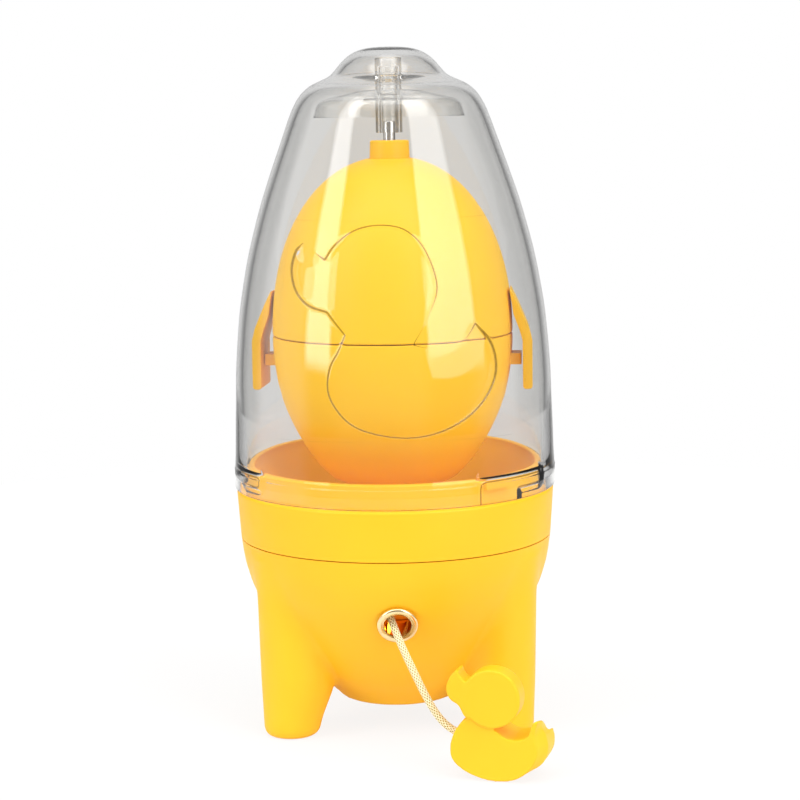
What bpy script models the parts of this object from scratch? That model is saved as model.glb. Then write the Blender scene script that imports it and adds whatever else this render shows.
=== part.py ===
"""Hand-pulled egg spinner: a cord-driven spindle in a three-legged base turns an egg-shaped
capsule under a clear bullet-shaped cover. A duck-shaped pull hangs on the cord.

The origin is on the spindle axis, on the surface that the legs stand on. +Z is up and -Y is
the front, where the cord comes out. Lengths are written in millimetres and scaled to metres.
"""

import math

import bmesh
import bpy
import numpy as np
from mathutils import Matrix, Vector

MM = 0.001
GAP = 0.3  # left between pieces that touch
SIDES = 28  # facets round a large shell
SMALL_SIDES = 16  # facets round a small turned piece

# base: bowl, legs and collar
BOWL_WALL = 2.2
BOWL_TOP = 55.5
BOWL_FLOOR = 6.7
BOWL_FLOOR_RADIUS = 15.2
BOWL_OUTLINE = [  # radius, height of the outer surface above the rounded foot
    (18.3, 9.2),
    (21.6, 12.2),
    (26.6, 17.0),
    (31.6, 23.2),
    (36.0, 30.0),
    (39.5, 36.0),
    (42.0, 41.2),
    (43.3, 45.0),
    (44.4, 49.2),
    (45.3, BOWL_TOP),
]
LEG_BEARINGS = (90.0, 210.0, 330.0)
LEG_OUTER_REACH = 43.7  # from the axis to the outside of a sole
LEG_OUTER_SLOPE = 0.022
LEG_INNER_REACH = 27.7
LEG_FLARE = 5.2
LEG_FLARE_HEIGHT = 18.0
LEG_TOP = 52.0
LEG_EDGE = 1.6
LEG_SIDES = 16

COLLAR_BOTTOM = BOWL_TOP + GAP
COLLAR_LEDGE = 70.0
COLLAR_RADIUS_LOW = 45.4
COLLAR_RADIUS_HIGH = 46.3
SPIGOT_RADIUS = 43.3
SPIGOT_TOP = 76.9
RIM_INNER_RADIUS = 41.2
DISH_FLOOR = 58.6
DISH_FLOOR_RADIUS = 9.0
DISH_POWER = 2.6
DECK_WALL = 2.0
DECK_BOSS_RADIUS = 7.2
DECK_BOSS_TOP = 60.0
DECK_BOSS_BOTTOM = 52.3

# bayonet: three lugs on the spigot, three L-shaped tracks in the cover's lip
TRACK_COUNT = 3
TRACK_START = -59.0
TRACK_ENTRY_END = -42.0
TRACK_SLOT_END = -26.6
TRACK_SLOT_FLOOR = 73.7
TRACK_TOP = 76.4
TRACK_RADIUS = 45.05
LUG_HALF_ANGLE = 5.5
LUG_RADIUS = 44.55
LUG_FLOOR = 74.1
LUG_TOP = 76.0

# cover: clear shell and its bearing stem
COVER_BOTTOM = 70.35
COVER_LIP_RADIUS = 46.8
COVER_LIP_TOP = 75.9
COVER_LIP_BORE = 43.75
COVER_LIP_BORE_TOP = 77.8
COVER_WALL = 1.9
COVER_OUTLINE = [  # radius, height of the outer surface
    (46.55, 76.2),
    (46.2, 88.0),
    (45.65, 104.0),
    (44.2, 121.0),
    (41.4, 137.0),
    (37.1, 153.0),
    (32.9, 165.2),
    (29.0, 176.0),
    (26.4, 181.6),
    (22.0, 185.9),
    (17.6, 188.0),
    (15.0, 190.4),
    (11.8, 193.6),
    (6.4, 195.9),
    (0.0, 196.4),
]
STEM_RADIUS = 3.87
STEM_BORE = 2.1
STEM_BOTTOM = 171.9
STEM_TOP = 193.6
STEM_CEILING = 190.5
FLANGE_WALL = 1.2
FLANGE_OUTLINE = [  # outer surface of the stem's shoulder, from the skirt inwards
    (21.8, 176.5),
    (20.6, 180.4),
    (17.9, 182.3),
    (10.4, 184.9),
]

# capsule: two egg-shaped half shells, liners, pin and latch arms
CAPSULE_SEAM = 114.5
CAPSULE_RADIUS = 34.8
CAPSULE_RISE = 50.5
CAPSULE_DROP = 50.0
CAPSULE_POWER_UP = 2.15
CAPSULE_POWER_DOWN = 2.0
CAPSULE_WALL = 2.0
CAPSULE_FOOT = 66.0
CAPSULE_BOSS_RADIUS = 5.6
CAPSULE_BOSS_TOP = 169.7
PIN_RADIUS = 1.72
PIN_TOP = 175.3
PIN_BOTTOM = 160.5
EGG_RADIUS = 24.0
EGG_RISE = 31.0
EGG_DROP = 29.0
HUB_RADIUS = 9.0
HUB_BOTTOM = 63.4
SOCKET_FLATS_RADIUS = 6.4
SOCKET_TOP = 70.4
CAPSULE_TURN = -6.0  # degrees the capsule stands turned at rest

LATCH_WIDTH = 14.4
LATCH_PIVOT = (34.6, 126.4)
LATCH_OUTLINE = [  # radius, height, round one arm
    (33.9, 128.2),
    (36.4, 123.2),
    (39.4, 116.4),
    (40.3, 113.0),
    (40.4, 99.9),
    (39.8, 98.6),
    (38.4, 98.6),
    (37.8, 99.9),
    (37.7, 112.6),
    (36.9, 115.6),
    (35.2, 120.2),
    (34.6, 124.2),
]
CATCH_HEIGHTS = (105.4, 108.6)
CATCH_REACH = 37.35
CATCH_WIDTH = 8.0

# spindle
SHAFT_RADIUS = 2.0
SHAFT_BORE = SHAFT_RADIUS + GAP
SHAFT_BOTTOM = 10.6
SHAFT_TOP = 68.0
SPOOL_CORE = 4.4
SPOOL_FLANGE = 9.4
SPOOL_BOTTOM = 29.0
SPOOL_TOP = 45.0
SPOOL_FLANGE_WALL = 1.5
WINDING_RADIUS = 8.4
HEAD_BOTTOM = 61.5
HEAD_SHOULDER = 63.0
HEAD_TOP = 69.6
HEAD_FLATS_RADIUS = 5.9
BUSH_RADIUS = 4.5
BUSH_FLANGE = 6.5

# case screws
SCREW_RING = 13.0
SCREW_BEARINGS = LEG_BEARINGS
POST_RADIUS = 2.8
POST_BOTTOM = 12.3
SCREW_HEAD_RADIUS = 2.2
SCREW_SHANK_RADIUS = 1.1
SCREW_HEAD_BOTTOM = 7.2
SCREW_HEAD_TOP = 8.7
SCREW_TIP = 20.0

# eyelet, cord and pull
EYELET_HEIGHT = 37.6
EYELET_REACH = 40.45
EYELET_TILT = 24.0
EYELET_HOLE = 4.6
EYELET_BARREL = 4.3
EYELET_BORE = 3.7
EYELET_FLANGE = 5.8
EYELET_FLANGE_WALL = 1.3
CORD_RADIUS = 1.05
CORD_ROUTE = [
    (-1.9, -38.4, 38.8),
    (-1.1, -40.5, 36.9),
    (0.4, -43.0, 33.5),
    (2.1, -45.6, 30.0),
    (3.7, -48.0, 27.0),
    (5.3, -50.2, 24.0),
    (6.9, -52.4, 21.1),
    (8.6, -54.4, 18.3),
    (10.3, -56.2, 16.0),
    (12.0, -57.6, 14.2),
    (13.7, -58.8, 13.0),
    (15.2, -59.8, 12.3),
    (16.9, -60.9, 11.6),
]
CORD_POINTS = 14
LEAD_START = (-7.4, -8.2, 38.6)
LEAD_END = (-2.0, -37.8, 39.1)

PULL_FOOT = (26.6, -67.3)
PULL_YAW = -16.0
PULL_BODY_DEPTH = 13.0
PULL_TAIL_START = 5.0
PULL_TAIL_FLARE = 2.3
PULL_TAIL_DEPTH = 4.0
PULL_TIP_START = 12.0
PULL_TIP_DROP = 0.045
PULL_HEAD_DEPTH = 5.6
PULL_HEAD_PROUD = 0.8
PULL_HEAD_CENTRE = (-2.1, 22.8)
PULL_HEAD_RADIUS = 8.0
PULL_BODY_OUTLINE = [  # along the duck, up
    (-9.1, 16.9),
    (-11.9, 13.9),
    (-13.5, 9.9),
    (-13.3, 5.8),
    (-10.4, 2.8),
    (-6.2, 0.9),
    (-1.2, 0.0),
    (3.9, 0.7),
    (7.4, 3.1),
    (9.7, 6.6),
    (10.2, 9.6),
    (9.6, 12.6),
    (9.7, 14.6),
    (10.5, 17.3),
    (8.9, 16.5),
    (7.6, 13.0),
    (4.6, 11.7),
    (1.5, 12.2),
    (-1.4, 14.2),
    (-5.2, 16.4),
]
PULL_BILL_OUTLINE = [
    (-9.1, 17.4),
    (-11.0, 20.5),
    (-13.4, 22.2),
    (-14.4, 24.9),
    (-13.5, 28.0),
    (-11.3, 30.3),
    (-10.6, 28.9),
    (-9.2, 27.3),
    (-6.5, 26.5),
    (-5.0, 22.0),
    (-6.0, 18.0),
]

YELLOW = (0.90, 0.50, 0.02)
DEEP_YELLOW = (0.86, 0.42, 0.02)
CLEAR = (0.80, 0.80, 0.78)
STEEL = (0.62, 0.62, 0.63)
BRASS = (0.86, 0.62, 0.30)
CREAM = (0.85, 0.78, 0.60)
NATURAL = (0.88, 0.86, 0.80)
SILICONE = (0.86, 0.86, 0.84)


def clear_scene():
    """Empty the scene that the script starts in."""
    for obj in list(bpy.data.objects):
        bpy.data.objects.remove(obj, do_unlink=True)


def material(name, colour, roughness, metallic=0.0):
    """One Principled material."""
    finish = bpy.data.materials.new(name)
    finish.use_nodes = True
    shader = finish.node_tree.nodes["Principled BSDF"]
    shader.inputs["Base Color"].default_value = (*colour, 1.0)
    shader.inputs["Roughness"].default_value = roughness
    shader.inputs["Metallic"].default_value = metallic
    return finish


def place(name, bm, finish=None):
    """A linked object made from a bmesh in millimetres, with its faces pointing out."""
    bmesh.ops.recalc_face_normals(bm, faces=bm.faces)
    bmesh.ops.scale(bm, vec=(MM, MM, MM), verts=bm.verts)
    mesh = bpy.data.meshes.new(name)
    bm.to_mesh(mesh)
    bm.free()
    obj = bpy.data.objects.new(name, mesh)
    bpy.context.collection.objects.link(obj)
    if finish:
        mesh.materials.append(finish)
        mesh.shade_smooth()
        mesh.set_sharp_from_angle(angle=math.radians(35))
    return obj


def combine(target, tool, operation="DIFFERENCE"):
    """Apply a Boolean to the target and remove the tool."""
    cut = target.modifiers.new("cut", "BOOLEAN")
    cut.operation = operation
    cut.solver = "EXACT"
    cut.object = tool
    graph = bpy.context.evaluated_depsgraph_get()
    mesh = bpy.data.meshes.new_from_object(target.evaluated_get(graph))
    target.modifiers.clear()
    target.data = mesh
    bpy.data.objects.remove(tool, do_unlink=True)
    return target


def finish_piece(obj, finish):
    """Give a combined piece its one material and smooth shading."""
    obj.data.materials.clear()
    obj.data.materials.append(finish)
    obj.data.shade_smooth()
    obj.data.set_sharp_from_angle(angle=math.radians(35))
    return obj


def set_origin(obj, point):
    """Move an object's origin to a point in millimetres and leave its shape where it is."""
    at = Vector(point) * MM
    obj.data.transform(Matrix.Translation(-at))
    obj.location = at


def turned(outline, sides=SIDES, start=0.0):
    """A solid of revolution about Z from a closed outline of (radius, height) points."""
    bm = bmesh.new()
    rings = []
    angles = [start + 2 * math.pi * i / sides for i in range(sides)]
    for radius, height in outline:
        if radius < 1e-6:
            rings.append([bm.verts.new((0, 0, height))] * sides)
        else:
            ring = [bm.verts.new((radius * math.cos(a), radius * math.sin(a), height)) for a in angles]
            rings.append(ring)
    for ring, following in zip(rings, rings[1:] + rings[:1]):
        for i in range(sides):
            j = (i + 1) % sides
            corners = list(dict.fromkeys((ring[i], ring[j], following[j], following[i])))
            if len(corners) > 2:
                bm.faces.new(corners)
    return bm


def prism(outline, low, high):
    """A closed outline of (x, y) points stretched from one height to another."""
    bm = bmesh.new()
    lower = [bm.verts.new((x, y, low)) for x, y in outline]
    upper = [bm.verts.new((x, y, high)) for x, y in outline]
    bm.faces.new(lower)
    bm.faces.new(upper)
    for i in range(len(outline)):
        j = (i + 1) % len(outline)
        bm.faces.new((lower[i], lower[j], upper[j], upper[i]))
    return bm


def rod(radius, low, high, sides=SMALL_SIDES, centre=(0.0, 0.0)):
    """An upright cylinder."""
    angles = [2 * math.pi * i / sides for i in range(sides)]
    points = [(centre[0] + radius * math.cos(a), centre[1] + radius * math.sin(a)) for a in angles]
    return prism(points, low, high)


def ring_sector(inner, outer, low, high, start, end, steps=5):
    """A piece of a flat ring between two bearings in degrees."""
    angles = np.radians(np.linspace(start, end, steps + 1))
    out = [(outer * math.cos(a), outer * math.sin(a)) for a in angles]
    back = [(inner * math.cos(a), inner * math.sin(a)) for a in angles[::-1]]
    return prism(out + back, low, high)


def smooth_curve(points, count, closed=False):
    """Points spread evenly in parameter along a Catmull-Rom curve through the given ones."""
    p = np.array(points, dtype=float)
    if closed:
        p = np.vstack((p[-1], p, p[:2]))
    else:
        p = np.vstack((2 * p[0] - p[1], p, 2 * p[-1] - p[-2]))
    spans = len(p) - 3
    t = np.linspace(0, spans, count, endpoint=not closed)
    k = np.minimum(t.astype(int), spans - 1)
    u = (t - k)[:, None]
    a, b, c, d = p[k], p[k + 1], p[k + 2], p[k + 3]
    curve = 2 * b + (c - a) * u + (2 * a - 5 * b + 4 * c - d) * u**2
    return 0.5 * (curve + (3 * b - a - 3 * c + d) * u**3)


def offset_inwards(points, distance):
    """An open outline moved towards the axis side by a distance, along its own normals."""
    p = np.array(points, dtype=float)
    along = np.gradient(p, axis=0)
    along /= np.linalg.norm(along, axis=1)[:, None]
    return p + distance * np.column_stack((-along[:, 1], along[:, 0]))


def bearing(degrees, radius):
    """The x and y of a point at a bearing."""
    return radius * math.cos(math.radians(degrees)), radius * math.sin(math.radians(degrees))


def capsule_half(radius, reach, power, steps, stop=1.0):
    """(radius, distance from the seam) along a half egg, from the seam to the pole."""
    share = np.sin(np.linspace(0, 1, steps) * math.pi / 2) * stop
    widths = radius * (1 - share**power) ** (1 / power)
    return list(zip(widths, share * reach))


# base


def bowl_outline(wall):
    """The bowl's surface from the middle of its floor to its top edge, moved in by a wall."""
    outer = [(0, BOWL_FLOOR), (BOWL_FLOOR_RADIUS, BOWL_FLOOR), (17.2, 7.6)]
    outer += list(map(tuple, smooth_curve(BOWL_OUTLINE, 8)))
    if not wall:
        return outer
    moved = offset_inwards(outer[2:], wall)
    moved = [tuple(point) for point in moved if point[1] > BOWL_FLOOR + wall + 1]
    return [(0, BOWL_FLOOR + wall), (14.6, BOWL_FLOOR + wall)] + moved


def leg(degrees, wall):
    """One tapered leg, round in section, wider where it runs into the bowl."""
    bm = bmesh.new()
    rings = []
    foot = wall if wall else 0.0
    heights = [foot, foot + 0.5, foot + LEG_EDGE, 6.0, 11.0, 16.0, 24.0, 38.0, LEG_TOP]
    insets = [1.5, 0.5] + [0.0] * 7
    for height, inset in zip(heights, insets):
        share = min(height / LEG_FLARE_HEIGHT, 1.0)
        flare = LEG_FLARE * share * share * (3 - 2 * share)
        outer = LEG_OUTER_REACH + LEG_OUTER_SLOPE * height
        inner = LEG_INNER_REACH - flare
        radius = (outer - inner) / 2 - wall - inset
        x, y = bearing(degrees, (outer + inner) / 2)
        angles = [math.radians(degrees) + 2 * math.pi * i / LEG_SIDES for i in range(LEG_SIDES)]
        ring = [(x + radius * math.cos(a), y + radius * math.sin(a), height) for a in angles]
        rings.append([bm.verts.new(point) for point in ring])
    bm.faces.new(rings[0])
    bm.faces.new(rings[-1])
    for ring, following in zip(rings, rings[1:]):
        for i in range(LEG_SIDES):
            j = (i + 1) % LEG_SIDES
            bm.faces.new((ring[i], ring[j], following[j], following[i]))
    return bm


def eyelet_frame():
    """Where the eyelet sits: its centre on the bowl's face and the turn of +Z to its axis."""
    tilt = math.radians(EYELET_TILT)
    axis = Vector((0, -math.cos(tilt), -math.sin(tilt)))
    turn = Vector((0, 0, 1)).rotation_difference(axis).to_matrix().to_4x4()
    return Matrix.Translation((0, -EYELET_REACH, EYELET_HEIGHT)) @ turn


def lower_housing(finish):
    """The bowl and its three hollow legs, moulded in one."""
    top = BOWL_TOP
    housing = place("lower_housing", turned(bowl_outline(0) + [(0, top)]))
    hollow = place("hollow", turned(bowl_outline(BOWL_WALL) + [(0, top + 5)]))
    for degrees in LEG_BEARINGS:
        combine(housing, place("leg", leg(degrees, 0)), "UNION")
        combine(hollow, place("leg_hollow", leg(degrees, BOWL_WALL)), "UNION")
    combine(housing, hollow)
    boss = [(BUSH_RADIUS + GAP, 8.0), (7.2, 8.0), (7.0, 16.0), (BUSH_RADIUS + GAP, 16.0)]
    combine(housing, place("bush_boss", turned(boss, SMALL_SIDES)), "UNION")
    for degrees in SCREW_BEARINGS:
        at = bearing(degrees, SCREW_RING)
        combine(housing, place("screw_boss", rod(4.0, 8.0, POST_BOTTOM - GAP, 12, at)), "UNION")
    for degrees in SCREW_BEARINGS:
        at = bearing(degrees, SCREW_RING)
        combine(housing, place("counterbore", rod(2.6, 4.0, SCREW_HEAD_TOP + GAP, 12, at)))
        combine(housing, place("clearance", rod(1.5, 6.0, 14.0, 12, at)))
    hole = rod(EYELET_HOLE, -8.0, 8.0)
    hole.transform(eyelet_frame())
    combine(housing, place("eyelet_hole", hole))
    return finish_piece(housing, finish)


def dish_outline(drop):
    """The dish under the capsule, from its rim to its floor, lowered by a drop."""
    radii = np.linspace(RIM_INNER_RADIUS - drop * 0.1, DISH_FLOOR_RADIUS, 9)
    share = (radii - DISH_FLOOR_RADIUS) / (RIM_INNER_RADIUS - DISH_FLOOR_RADIUS)
    depth = SPIGOT_TOP - 0.5 - DISH_FLOOR
    return [(r, DISH_FLOOR + depth * s**DISH_POWER - drop) for r, s in zip(radii, share)]


def base_collar(finish):
    """The band, bayonet spigot, dish and screw posts, moulded in one."""
    outline = [
        (COLLAR_RADIUS_LOW, COLLAR_BOTTOM),
        (COLLAR_RADIUS_HIGH, COLLAR_LEDGE - 1.0),
        (COLLAR_RADIUS_HIGH - 0.4, COLLAR_LEDGE),
        (SPIGOT_RADIUS, COLLAR_LEDGE),
        (SPIGOT_RADIUS, SPIGOT_TOP - 0.4),
        (SPIGOT_RADIUS - 0.5, SPIGOT_TOP),
        (RIM_INNER_RADIUS + 0.5, SPIGOT_TOP),
    ]
    outline += dish_outline(0)
    outline += [
        (DECK_BOSS_RADIUS, DISH_FLOOR),
        (DECK_BOSS_RADIUS, DECK_BOSS_TOP),
        (BUSH_RADIUS + GAP, DECK_BOSS_TOP),
        (BUSH_RADIUS + GAP, DECK_BOSS_BOTTOM),
        (DECK_BOSS_RADIUS, DECK_BOSS_BOTTOM),
        (DECK_BOSS_RADIUS, DISH_FLOOR - DECK_WALL),
    ]
    outline += dish_outline(DECK_WALL)[::-1][:7]
    outline += [
        (40.6, 65.4),
        (40.6, 52.5),
        (42.4, 52.5),
        (42.4, COLLAR_BOTTOM),
    ]
    collar = place("base_collar", turned(outline))
    for k in range(TRACK_COUNT):
        middle = (TRACK_START + TRACK_ENTRY_END) / 2 + k * 360 / TRACK_COUNT
        ends = middle - LUG_HALF_ANGLE, middle + LUG_HALF_ANGLE
        lug = ring_sector(SPIGOT_RADIUS - 1.0, LUG_RADIUS, LUG_FLOOR, LUG_TOP, *ends)
        combine(collar, place("lug", lug), "UNION")
    for degrees in SCREW_BEARINGS:
        at = bearing(degrees, SCREW_RING)
        combine(collar, place("post", rod(POST_RADIUS, POST_BOTTOM, 58.0, 12, at)), "UNION")
        combine(collar, place("pilot", rod(SCREW_SHANK_RADIUS + GAP, 10.0, 21.5, 12, at)))
    return finish_piece(collar, finish)


def case_screw(number, degrees, finish):
    """A pan-head screw from below, with a cross slot."""
    x, y = bearing(degrees, SCREW_RING)
    outline = [
        (0, SCREW_HEAD_BOTTOM),
        (SCREW_HEAD_RADIUS - 0.5, SCREW_HEAD_BOTTOM),
        (SCREW_HEAD_RADIUS, SCREW_HEAD_BOTTOM + 0.5),
        (SCREW_HEAD_RADIUS, SCREW_HEAD_TOP),
        (SCREW_SHANK_RADIUS, SCREW_HEAD_TOP),
        (SCREW_SHANK_RADIUS, SCREW_TIP - 1.2),
        (0, SCREW_TIP),
    ]
    screw = place(f"case_screw_{number}", turned(outline, 12))
    for length, width in ((2.2, 0.5), (0.5, 2.2)):
        corners = [(-length / 2, -width / 2), (length / 2, -width / 2)]
        corners += [(length / 2, width / 2), (-length / 2, width / 2)]
        combine(screw, place("slot", prism(corners, 6.0, SCREW_HEAD_BOTTOM + 0.8)))
    screw.data.transform(Matrix.Translation((x * MM, y * MM, 0)))
    return finish_piece(screw, finish)


def bush(name, low, high, flange_low, flange_high, closed, finish):
    """A flanged plain bush. The lower one has a floor that carries the shaft."""
    outer = [(BUSH_RADIUS, low), (BUSH_RADIUS, high)]
    flange = [(BUSH_FLANGE, flange_low), (BUSH_FLANGE, flange_high)]
    if flange_low >= high:
        outline = outer[:1] + [(BUSH_RADIUS, flange_low)] + flange + [(SHAFT_BORE, flange_high)]
    else:
        outline = flange + [(BUSH_RADIUS, flange_high), (BUSH_RADIUS, high), (SHAFT_BORE, high)]
    start = min(low, flange_low)
    if closed:
        outline += [(SHAFT_BORE, SHAFT_BOTTOM - GAP), (0, SHAFT_BOTTOM - GAP), (0, start)]
    else:
        outline += [(SHAFT_BORE, start)]
    return place(name, turned(outline, SMALL_SIDES), finish)


def cord_eyelet(finish):
    """The brass eyelet: a barrel through the bowl with a rounded front flange."""
    face = 0.4
    wall = EYELET_FLANGE_WALL
    outline = [
        (EYELET_BORE, -4.6),
        (EYELET_BARREL, -4.6),
        (EYELET_BARREL, face),
        (EYELET_FLANGE - 0.3, face),
        (EYELET_FLANGE, face + 0.35 * wall),
        (EYELET_FLANGE - 0.5, face + 0.85 * wall),
        (EYELET_FLANGE - 1.1, face + wall),
        (EYELET_BORE + 0.5, face + 0.8 * wall),
        (EYELET_BORE, face + 0.2 * wall),
    ]
    bm = turned(outline, 24)
    bm.transform(eyelet_frame())
    return place("cord_eyelet", bm, finish)


def eyelet_washer(finish):
    """The ring that the eyelet's barrel is closed over, inside the bowl."""
    outline = [
        (EYELET_BARREL + GAP, -4.4),
        (EYELET_FLANGE + 0.2, -4.4),
        (EYELET_FLANGE + 0.2, -3.6),
        (EYELET_BARREL + GAP, -3.6),
    ]
    bm = turned(outline, 24)
    bm.transform(eyelet_frame())
    return place("eyelet_washer", bm, finish)


# spindle


def spindle_shaft(finish):
    """The steel shaft, chamfered at both ends."""
    outline = [
        (0, SHAFT_BOTTOM),
        (SHAFT_RADIUS - 0.4, SHAFT_BOTTOM),
        (SHAFT_RADIUS, SHAFT_BOTTOM + 0.4),
        (SHAFT_RADIUS, SHAFT_TOP - 0.4),
        (SHAFT_RADIUS - 0.4, SHAFT_TOP),
        (0, SHAFT_TOP),
    ]
    return place("spindle_shaft", turned(outline, SMALL_SIDES), finish)


def cord_spool(finish):
    """The bobbin that the cord winds on."""
    lower = SPOOL_BOTTOM + SPOOL_FLANGE_WALL
    upper = SPOOL_TOP - SPOOL_FLANGE_WALL
    outline = [
        (SHAFT_BORE, SPOOL_BOTTOM),
        (SPOOL_FLANGE, SPOOL_BOTTOM),
        (SPOOL_FLANGE, lower),
        (SPOOL_CORE, lower),
        (SPOOL_CORE, upper),
        (SPOOL_FLANGE, upper),
        (SPOOL_FLANGE, SPOOL_TOP),
        (SHAFT_BORE, SPOOL_TOP),
    ]
    return place("cord_spool", turned(outline, 24), finish)


def cord_winding(finish):
    """The wound cord, as the outer shape of its turns."""
    low = SPOOL_BOTTOM + SPOOL_FLANGE_WALL + GAP
    high = SPOOL_TOP - SPOOL_FLANGE_WALL - GAP
    inner = SPOOL_CORE + GAP
    outline = [(inner, low), (WINDING_RADIUS, low), (WINDING_RADIUS, high), (inner, high)]
    return place("cord_winding", turned(outline, 24), finish)


def drive_head(finish):
    """The six-sided dog that turns the capsule, on a round shoulder."""
    shoulder = [(0, HEAD_BOTTOM), (7.0, HEAD_BOTTOM), (7.0, HEAD_SHOULDER), (0, HEAD_SHOULDER)]
    head = place("drive_head", turned(shoulder, 24))
    corner = HEAD_FLATS_RADIUS / math.cos(math.pi / 6)
    hexagon = [(0, HEAD_BOTTOM + 0.5), (corner, HEAD_BOTTOM + 0.5), (corner, HEAD_TOP - 1.2)]
    hexagon += [(corner - 1.4, HEAD_TOP), (0, HEAD_TOP)]
    turn = math.radians(CAPSULE_TURN)
    combine(head, place("dog", turned(hexagon, 6, turn)), "UNION")
    combine(head, place("bore", rod(SHAFT_BORE, HEAD_BOTTOM - 2, SHAFT_TOP + GAP)))
    return finish_piece(head, finish)


def thrust_washer(finish):
    """The slippery washer between the deck and the drive head."""
    outline = [(SHAFT_BORE + 0.1, 60.3), (6.2, 60.3), (6.2, 61.2), (SHAFT_BORE + 0.1, 61.2)]
    return place("thrust_washer", turned(outline, SMALL_SIDES), finish)


def shaft_clip(finish):
    """The open spring clip that keeps the shaft in the deck's bush."""
    clip = ring_sector(SHAFT_BORE, 4.2, 48.4, 49.2, 25, 335, 18)
    return place("shaft_clip", clip, finish)


# capsule


def capsule_lower_shell(finish):
    """The lower half egg, with the socket for the drive head and the two latch catches."""
    floor_share = (CAPSULE_SEAM - CAPSULE_FOOT) / CAPSULE_DROP
    outer = capsule_half(CAPSULE_RADIUS, CAPSULE_DROP, CAPSULE_POWER_DOWN, 10, floor_share)
    inner = capsule_half(
        CAPSULE_RADIUS - CAPSULE_WALL,
        CAPSULE_DROP - CAPSULE_WALL,
        CAPSULE_POWER_DOWN,
        8,
        0.93,
    )
    outline = [(r, CAPSULE_SEAM - GAP / 2 - d) for r, d in outer]
    outline += [(0, outline[-1][1])]
    hub_top = CAPSULE_SEAM - inner[-1][1]
    outline += [(0, hub_top)]
    outline += [(r, CAPSULE_SEAM - GAP / 2 - d) for r, d in inner[::-1]]
    shell = place("capsule_lower_shell", turned(outline))
    hub = [(0, HUB_BOTTOM), (HUB_RADIUS, HUB_BOTTOM), (HUB_RADIUS, 73.4), (0, 73.4)]
    combine(shell, place("hub", turned(hub, 24)), "UNION")
    corner = SOCKET_FLATS_RADIUS / math.cos(math.pi / 6)
    turn = math.radians(CAPSULE_TURN)
    socket = [(0, HUB_BOTTOM - 2), (corner, HUB_BOTTOM - 2), (corner, SOCKET_TOP), (0, SOCKET_TOP)]
    combine(shell, place("socket", turned(socket, 6, turn)))
    for side in (0, 180):
        width = CATCH_WIDTH / 2
        corners = [(32.6, -width), (CATCH_REACH, -width), (CATCH_REACH, width), (32.6, width)]
        catch = prism(corners, *CATCH_HEIGHTS)
        catch.transform(Matrix.Rotation(math.radians(side + CAPSULE_TURN), 4, "Z"))
        combine(shell, place("catch", catch), "UNION")
    return finish_piece(shell, finish)


def capsule_upper_shell(finish):
    """The upper half egg, with the boss that holds the top pin."""
    outer = capsule_half(CAPSULE_RADIUS, CAPSULE_RISE, CAPSULE_POWER_UP, 11)
    inner = capsule_half(
        CAPSULE_RADIUS - CAPSULE_WALL, CAPSULE_RISE - CAPSULE_WALL, CAPSULE_POWER_UP, 9
    )
    seam = CAPSULE_SEAM + GAP / 2
    outline = [(r, seam + d) for r, d in outer]
    outline += [(r, seam + d) for r, d in inner[::-1]]
    shell = place("capsule_upper_shell", turned(outline))
    boss = [
        (0, 159.0),
        (CAPSULE_BOSS_RADIUS + 0.3, 159.0),
        (CAPSULE_BOSS_RADIUS + 0.1, 164.0),
        (CAPSULE_BOSS_RADIUS, CAPSULE_BOSS_TOP - 0.5),
        (CAPSULE_BOSS_RADIUS - 0.5, CAPSULE_BOSS_TOP),
        (0, CAPSULE_BOSS_TOP),
    ]
    combine(shell, place("boss", turned(boss, 24)), "UNION")
    combine(shell, place("pin_hole", rod(PIN_RADIUS + GAP, PIN_BOTTOM - GAP, 175)))
    return finish_piece(shell, finish)


def liner(name, up, finish):
    """A soft cup between a half shell and the egg."""
    reach = CAPSULE_RISE if up else CAPSULE_DROP
    power = CAPSULE_POWER_UP if up else CAPSULE_POWER_DOWN
    depth = (reach - CAPSULE_WALL) * 0.84
    sign = 1 if up else -1
    seam = CAPSULE_SEAM + sign * (GAP / 2 + 0.2)
    room = CAPSULE_RADIUS - CAPSULE_WALL - 0.5
    outer = capsule_half(room, reach - CAPSULE_WALL - 0.6, power, 8, 0.86)
    inner = capsule_half(EGG_RADIUS, EGG_RISE if up else EGG_DROP, 2.0, 8)
    outline = [(r, seam + sign * min(d, depth)) for r, d in outer]
    outline += [(0, outline[-1][1])]
    outline += [(r, seam + sign * d) for r, d in inner[::-1]]
    return place(name, turned(outline, 24), finish)


def top_pin(finish):
    """The steel pin that runs in the cover's stem."""
    outline = [
        (0, PIN_BOTTOM),
        (PIN_RADIUS, PIN_BOTTOM),
        (PIN_RADIUS, PIN_TOP - 0.6),
        (PIN_RADIUS - 0.6, PIN_TOP),
        (0, PIN_TOP),
    ]
    return place("top_pin", turned(outline, SMALL_SIDES), finish)


def latch_arm(name, side, finish):
    """A springy arm that hangs from the upper half over the catch on the lower half."""
    bm = bmesh.new()
    half = LATCH_WIDTH / 2
    sheets = [[bm.verts.new((x, y, z)) for x, z in LATCH_OUTLINE] for y in (-half, half)]
    for sheet in sheets:
        bm.faces.new(sheet)
    for i in range(len(LATCH_OUTLINE)):
        j = (i + 1) % len(LATCH_OUTLINE)
        bm.faces.new((sheets[0][i], sheets[0][j], sheets[1][j], sheets[1][i]))
    turn = Matrix.Rotation(math.radians(side + CAPSULE_TURN), 4, "Z")
    bm.transform(turn)
    arm = place(name, bm, finish)
    set_origin(arm, turn @ Vector((LATCH_PIVOT[0], 0, LATCH_PIVOT[1])))
    return arm


# cover


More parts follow.
